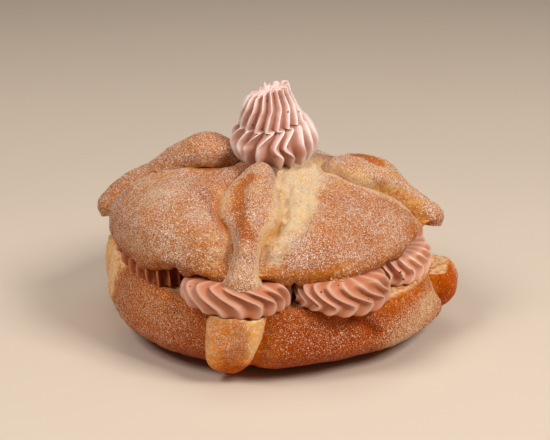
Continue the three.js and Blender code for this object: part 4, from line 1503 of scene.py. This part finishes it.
def baked_dough_group():
    """Pale, golden or brown dough, mottled and finely speckled."""
    tree, given, result = shader_group(
        "Baked dough", (("Browning", FLOAT), ("Pale", COLOUR), ("Golden", COLOUR), ("Brown", COLOUR)),
        (("Colour", COLOUR),))
    mottle = object_noise(tree, DOUGH_MOTTLE["size"], DOUGH_MOTTLE["detail"])
    mottle = maths(tree, "SUBTRACT", mottle, MIDDLE_GREY)
    level = maths(tree, "MULTIPLY_ADD", mottle, DOUGH_MOTTLE["weight"], given["Browning"])
    speckle = object_noise(tree, DOUGH_SPECKLE["size"], DOUGH_SPECKLE["detail"])
    level = maths(tree, "ADD", level, maths(tree, "SUBTRACT", speckle, MIDDLE_GREY))
    warm = blend(tree, ramp(tree, level, GOLDEN_SPAN), given["Pale"], given["Golden"])
    wire(tree, result, {"Colour": blend(tree, ramp(tree, level, BROWN_SPAN), warm, given["Brown"])})
    return tree


def sugar_veil_group():
    """A thin frost that lies in drifts, and single dots of the finest dust."""
    tree, given, result = shader_group(
        "Sugar veil", (("Sugar", FLOAT), ("Cover", FLOAT)),
        (("Frost", FLOAT), ("Grain", FLOAT), ("Height", FLOAT)))
    fine = ramp(tree, object_noise(tree, VEIL_FINE["size"], VEIL_FINE["detail"]), VEIL_FINE["span"])
    drifts = object_noise(tree, VEIL_DRIFTS["size"], VEIL_DRIFTS["detail"])
    drifts = maths(tree, "MULTIPLY_ADD", drifts, VEIL_DRIFTS["weight"], VEIL_DRIFTS["start"])
    thick = maths(tree, "MULTIPLY_ADD", fine, VEIL_FINE["weight"], drifts)
    cover = maths(tree, "MULTIPLY", given["Sugar"], given["Cover"])
    frost = maths(tree, "MULTIPLY", cover, thick, clamp=True)
    inputs = {"Vector": own_place(tree), "Scale": 1 / (DUST_SPACING * MM)}
    cells = put(tree, "ShaderNodeTexVoronoi", inputs).outputs
    dots = ramp(tree, cells["Distance"], DUST_DOT)
    chosen = ramp(tree, cells["Color"], DUST_CHOSEN)
    dust = maths(tree, "MULTIPLY", maths(tree, "MULTIPLY", dots, chosen), given["Sugar"], clamp=True)
    height = maths(tree, "MAXIMUM", maths(tree, "MULTIPLY", frost, fine), dust)
    wire(tree, result, {"Frost": frost, "Grain": dust, "Height": height})
    return tree


def crumb_group():
    """Cut bread with darker pores, painted shade in its holes."""
    tree, given, result = shader_group(
        "Open crumb", (("Crumb", COLOUR), ("Shade", COLOUR)), (("Colour", COLOUR),))
    pores = ramp(tree, object_noise(tree, CRUMB_PORES["size"], CRUMB_PORES["detail"]), CRUMB_PORES["span"])
    wire(tree, result, {"Colour": blend(tree, pores, given["Shade"], given["Crumb"])})
    return tree


def cream_ridges_group():
    """Cream with painted shade in the furrows and a painted highlight along each crest, and slightly uneven.
    """
    tree, given, result = shader_group(
        "Cream ridges", (("Crest", FLOAT), ("Deep", COLOUR), ("Body", COLOUR), ("Edge", COLOUR)),
        (("Colour", COLOUR), ("Height", FLOAT)))
    mottle = object_noise(tree, CREAM_MOTTLE["size"], CREAM_MOTTLE["detail"])
    mottle = ramp(tree, mottle, (0, 1), CREAM_MOTTLE["weight"])
    level = maths(tree, "ADD", given["Crest"], mottle, clamp=True)
    base = blend(tree, level, given["Deep"], given["Body"])
    crest = maths(tree, "POWER", given["Crest"], CREAM_CREST)
    wire(tree, result, {"Colour": blend(tree, crest, base, given["Edge"]),
                        "Height": object_noise(tree, CREAM_BUMP["size"])})
    return tree


def soft_mottle_group():
    """Two colours that run into each other in soft patches."""
    tree, given, result = shader_group(
        "Soft mottle", (("Scale", FLOAT), ("Dark", COLOUR), ("Light", COLOUR)), (("Colour", COLOUR),))
    inputs = {"Vector": own_place(tree), "Scale": given["Scale"]}
    patches = put(tree, "ShaderNodeTexNoise", inputs).outputs["Fac"]
    wire(tree, result, {"Colour": blend(tree, patches, given["Dark"], given["Light"])})
    return tree


BAKED_DOUGH = baked_dough_group()
SUGAR_VEIL = sugar_veil_group()
OPEN_CRUMB = crumb_group()
CREAM_RIDGES = cream_ridges_group()
SOFT_MOTTLE = soft_mottle_group()


# Finishes

def new_material(name):
    material = bpy.data.materials.new(name)
    material.use_nodes = True
    tree = material.node_tree
    return material, tree, tree.nodes["Principled BSDF"]


def sugared_crust(name, pale, golden, brown, frost, dust, cover):
    """Baked dough, or open crumb where it is cut, under a veil of sugar."""
    material, tree, shader = new_material(name)
    tones = {"Browning": painted(tree, "browning"), "Pale": colour(*pale), "Golden": colour(*golden),
             "Brown": colour(*brown)}
    dough = put(tree, "ShaderNodeGroup", tones, node_tree=BAKED_DOUGH)
    shades = {"Crumb": colour(*CRUMB), "Shade": colour(*CRUMB_SHADE)}
    crumb = put(tree, "ShaderNodeGroup", shades, node_tree=OPEN_CRUMB)
    sugar = painted(tree, "sugar")
    veil = put(tree, "ShaderNodeGroup", {"Sugar": sugar, "Cover": cover}, node_tree=SUGAR_VEIL).outputs
    bread = blend(tree, painted(tree, "crumb"), dough.outputs["Colour"], crumb.outputs["Colour"])
    veiled = blend(tree, veil["Frost"], bread, colour(*frost))
    wire(tree, shader, {
        "Base Color": blend(tree, veil["Grain"], veiled, colour(*dust)),
        "Roughness": ramp(tree, sugar, (0, 1), CRUST_ROUGHNESS),
        "Specular IOR Level": CRUST_SHINE,
        "Specular Tint": WARM_SHINE,
        "Normal": bump(tree, CRUST_BUMP["strength"], CRUST_BUMP["depth"], veil["Height"]),
    })
    return material


def lid_crust():
    return sugared_crust("sugared_lid_crust", **LID_CRUST)


def base_crust():
    return sugared_crust("sugared_base_crust", **BASE_CRUST)


def bone_crust():
    return sugared_crust("sugared_bone_crust", **BONE_CRUST)


def stub_crust():
    return sugared_crust("sugared_stub_crust", **STUB_CRUST)


def piped_cream(name, deep, body, edge, shine):
    """Satin cream, with painted shade in its furrows and painted highlights on its crests."""
    material, tree, shader = new_material(name)
    tones = {"Crest": painted(tree, "crest"), "Deep": colour(*deep), "Body": colour(*body),
             "Edge": colour(*edge)}
    ridged = put(tree, "ShaderNodeGroup", tones, node_tree=CREAM_RIDGES).outputs
    wire(tree, shader, {
        "Base Color": ridged["Colour"],
        "Roughness": CREAM_ROUGHNESS,
        "Specular IOR Level": shine,
        "Subsurface Weight": CREAM_GLOW["weight"],
        "Subsurface Radius": CREAM_GLOW["radius"],
        "Subsurface Scale": CREAM_GLOW["depth"] * MM,
        "Normal": bump(tree, CREAM_BUMP["strength"], CREAM_BUMP["depth"], ridged["Height"]),
    })
    return material


def ring_cream():
    return piped_cream("ring_cream", **RING_CREAM)


def painted_shade_cream():
    return piped_cream("painted_shade_cream", **PAINTED_SHADE_CREAM)


def painted_light_cream():
    return piped_cream("painted_light_cream", **PAINTED_LIGHT_CREAM)


def crown_cream():
    return piped_cream("crown_cream", **CROWN_CREAM)


def sugar_crystal(name, clear, cloudy):
    """Clear or cloudy crystals, each shaded one way."""
    material, tree, shader = new_material(name)
    way = put(tree, "ShaderNodeAttribute", {}, attribute_name="facing")
    wire(tree, shader, {
        "Base Color": blend(tree, painted(tree, "tint"), colour(*clear), colour(*cloudy)),
        "Roughness": SUGAR_ROUGHNESS,
        "Specular IOR Level": SUGAR_SHINE,
        "Normal": way.outputs["Vector"],
    })
    return material


def white_sugar():
    return sugar_crystal("sugar_crystal", **WHITE_SUGAR)


def amber_sugar():
    return sugar_crystal("amber_sugar_crystal", **AMBER_SUGAR)


def honey_sugar():
    return sugar_crystal("honey_sugar_crystal", **HONEY_SUGAR)


def mottled(name, dark, light, mottle, roughness):
    """A plain dull finish that wanders between two colours."""
    material, tree, shader = new_material(name)
    tones = {"Scale": 1 / (mottle * MM), "Dark": colour(*dark), "Light": colour(*light)}
    patches = put(tree, "ShaderNodeGroup", tones, node_tree=SOFT_MOTTLE).outputs
    wire(tree, shader, {"Base Color": patches["Colour"], "Roughness": roughness})
    return material


def bread_crumb():
    return mottled("bread_crumb", CRUMB_SHADE, CRUMB, CRUMB_MOTTLE, CRUMB_ROUGHNESS)


def dark_fleck():
    return mottled("dark_fleck", **FLECK)


def studio_floor():
    return mottled("studio_floor", **FLOOR)


# Stage, light and camera

def build_floor():
    corners = np.array(((-1, -1, 0), (1, -1, 0), (1, 1, 0), (-1, 1, 0))) * FLOOR_HALF - UP * FLOOR_DROP
    floor = make_piece("floor", corners, [(0, 1, 2, 3)], {})
    floor.data.materials.append(studio_floor())


def aimed(thing, place, target):
    """Puts a light or a camera at a place, looking at a target."""
    thing.location = place
    thing.rotation_euler = (Vector(target) - Vector(place)).to_track_quat("-Z", "Y").to_euler()
    bpy.context.scene.collection.objects.link(thing)


def soft_light(name, place, size, power, tone):
    lamp = bpy.data.lights.new(name, "AREA")
    lamp.shape = "RECTANGLE"
    lamp.size, lamp.size_y = size
    lamp.energy = power
    lamp.color = tone
    aimed(bpy.data.objects.new(name, lamp), place, LIGHT_AIM)


def light_scene():
    for light in LIGHTS:
        soft_light(*light)
    world = bpy.data.worlds.new("studio")
    world.use_nodes = True
    room = {"Color": ROOM_COLOUR, "Strength": ROOM_STRENGTH}
    wire(world.node_tree, world.node_tree.nodes["Background"], room)
    bpy.context.scene.world = world


def place_camera():
    lens = bpy.data.cameras.new("photo_view")
    lens.sensor_width = SENSOR_WIDTH
    lens.sensor_fit = "HORIZONTAL"
    lens.lens = SENSOR_WIDTH * FOCAL_PX / PHOTO_WIDTH_PX
    camera = bpy.data.objects.new("photo_view", lens)
    target = Vector(CAMERA_TARGET) * MM
    elevation = math.radians(CAMERA_ELEVATION)
    backward = Vector((0, -math.cos(elevation), math.sin(elevation)))
    aimed(camera, target + backward * (CAMERA_DISTANCE * MM), target)
    bpy.context.scene.camera = camera


def set_colours():
    view = bpy.context.scene.view_settings
    view.view_transform = "Standard"
    view.look = "None"


# Putting it together

def build_crusts():
    """Both halves, the bones and the stubs. Gives each kind's skins, with the sugar that they want."""
    crusts = {"lid": lid_crust(), "base": base_crust(), "bone": bone_crust(), "stub": stub_crust()}
    skins = {kind: [] for kind in crusts}

    def add(kind, built, slot, node):
        piece, rows, want = built
        finish_piece(piece, crusts[kind], slot, node)
        skins[kind].append((rows, want))

    add("lid", build_lid(), "bread_crust", "bread_lid")
    add("base", build_base(), "bread_crust", "bread_base")
    for place in LID_BONES:
        add("bone", build_bone(place), "bone_crust", "bone_lid_" + place)
        add("stub", build_stub(place), "bone_crust", "bone_base_" + place)
    return skins


def build_bread(draw):
    skins = build_crusts()
    sugars = {"white": white_sugar(), "amber": amber_sugar(), "honey": honey_sugar()}
    for name, shares, count, sizes, clearness, slot, sugar in COATS:
        carriers = [(rows, share * want) for kind, share in shares.items() for rows, want in skins[kind]]
        finish_piece(sugar_coat(name, carriers, count, sizes, clearness, draw), sugars[sugar], slot)
    lid_skin = skins["lid"][0][0]
    finish_piece(build_crumbs(lid_skin, draw), bread_crumb(), "bread_crust")


def build_filling(draw):
    creams = {"ring": ring_cream(), "shaded": painted_shade_cream(), "lit": painted_light_cream(), "crown": crown_cream()}
    ring = []
    for number, swirl in enumerate(SWIRLS, 1):
        piece, rows = build_swirl(number, swirl)
        cream = creams[swirl.get("cream", "ring")]
        finish_piece(piece, cream, "piped_cream", "cream_swirl_%d" % number)
        ring.append(rows)
    finish_piece(build_middle(), creams["ring"], "piped_cream", "cream_middle")
    crown, crown_skin = build_crown()
    finish_piece(crown, creams["crown"], "piped_cream", "cream_crown")
    skins = {"crown": [crown_skin], "ring": ring}
    finish_piece(build_flecks(skins, draw), dark_fleck(), "piped_cream")


build_bread(np.random.default_rng(BREAD_SEED))
build_filling(np.random.default_rng(FILLING_SEED))
build_floor()
light_scene()
place_camera()
set_colours()
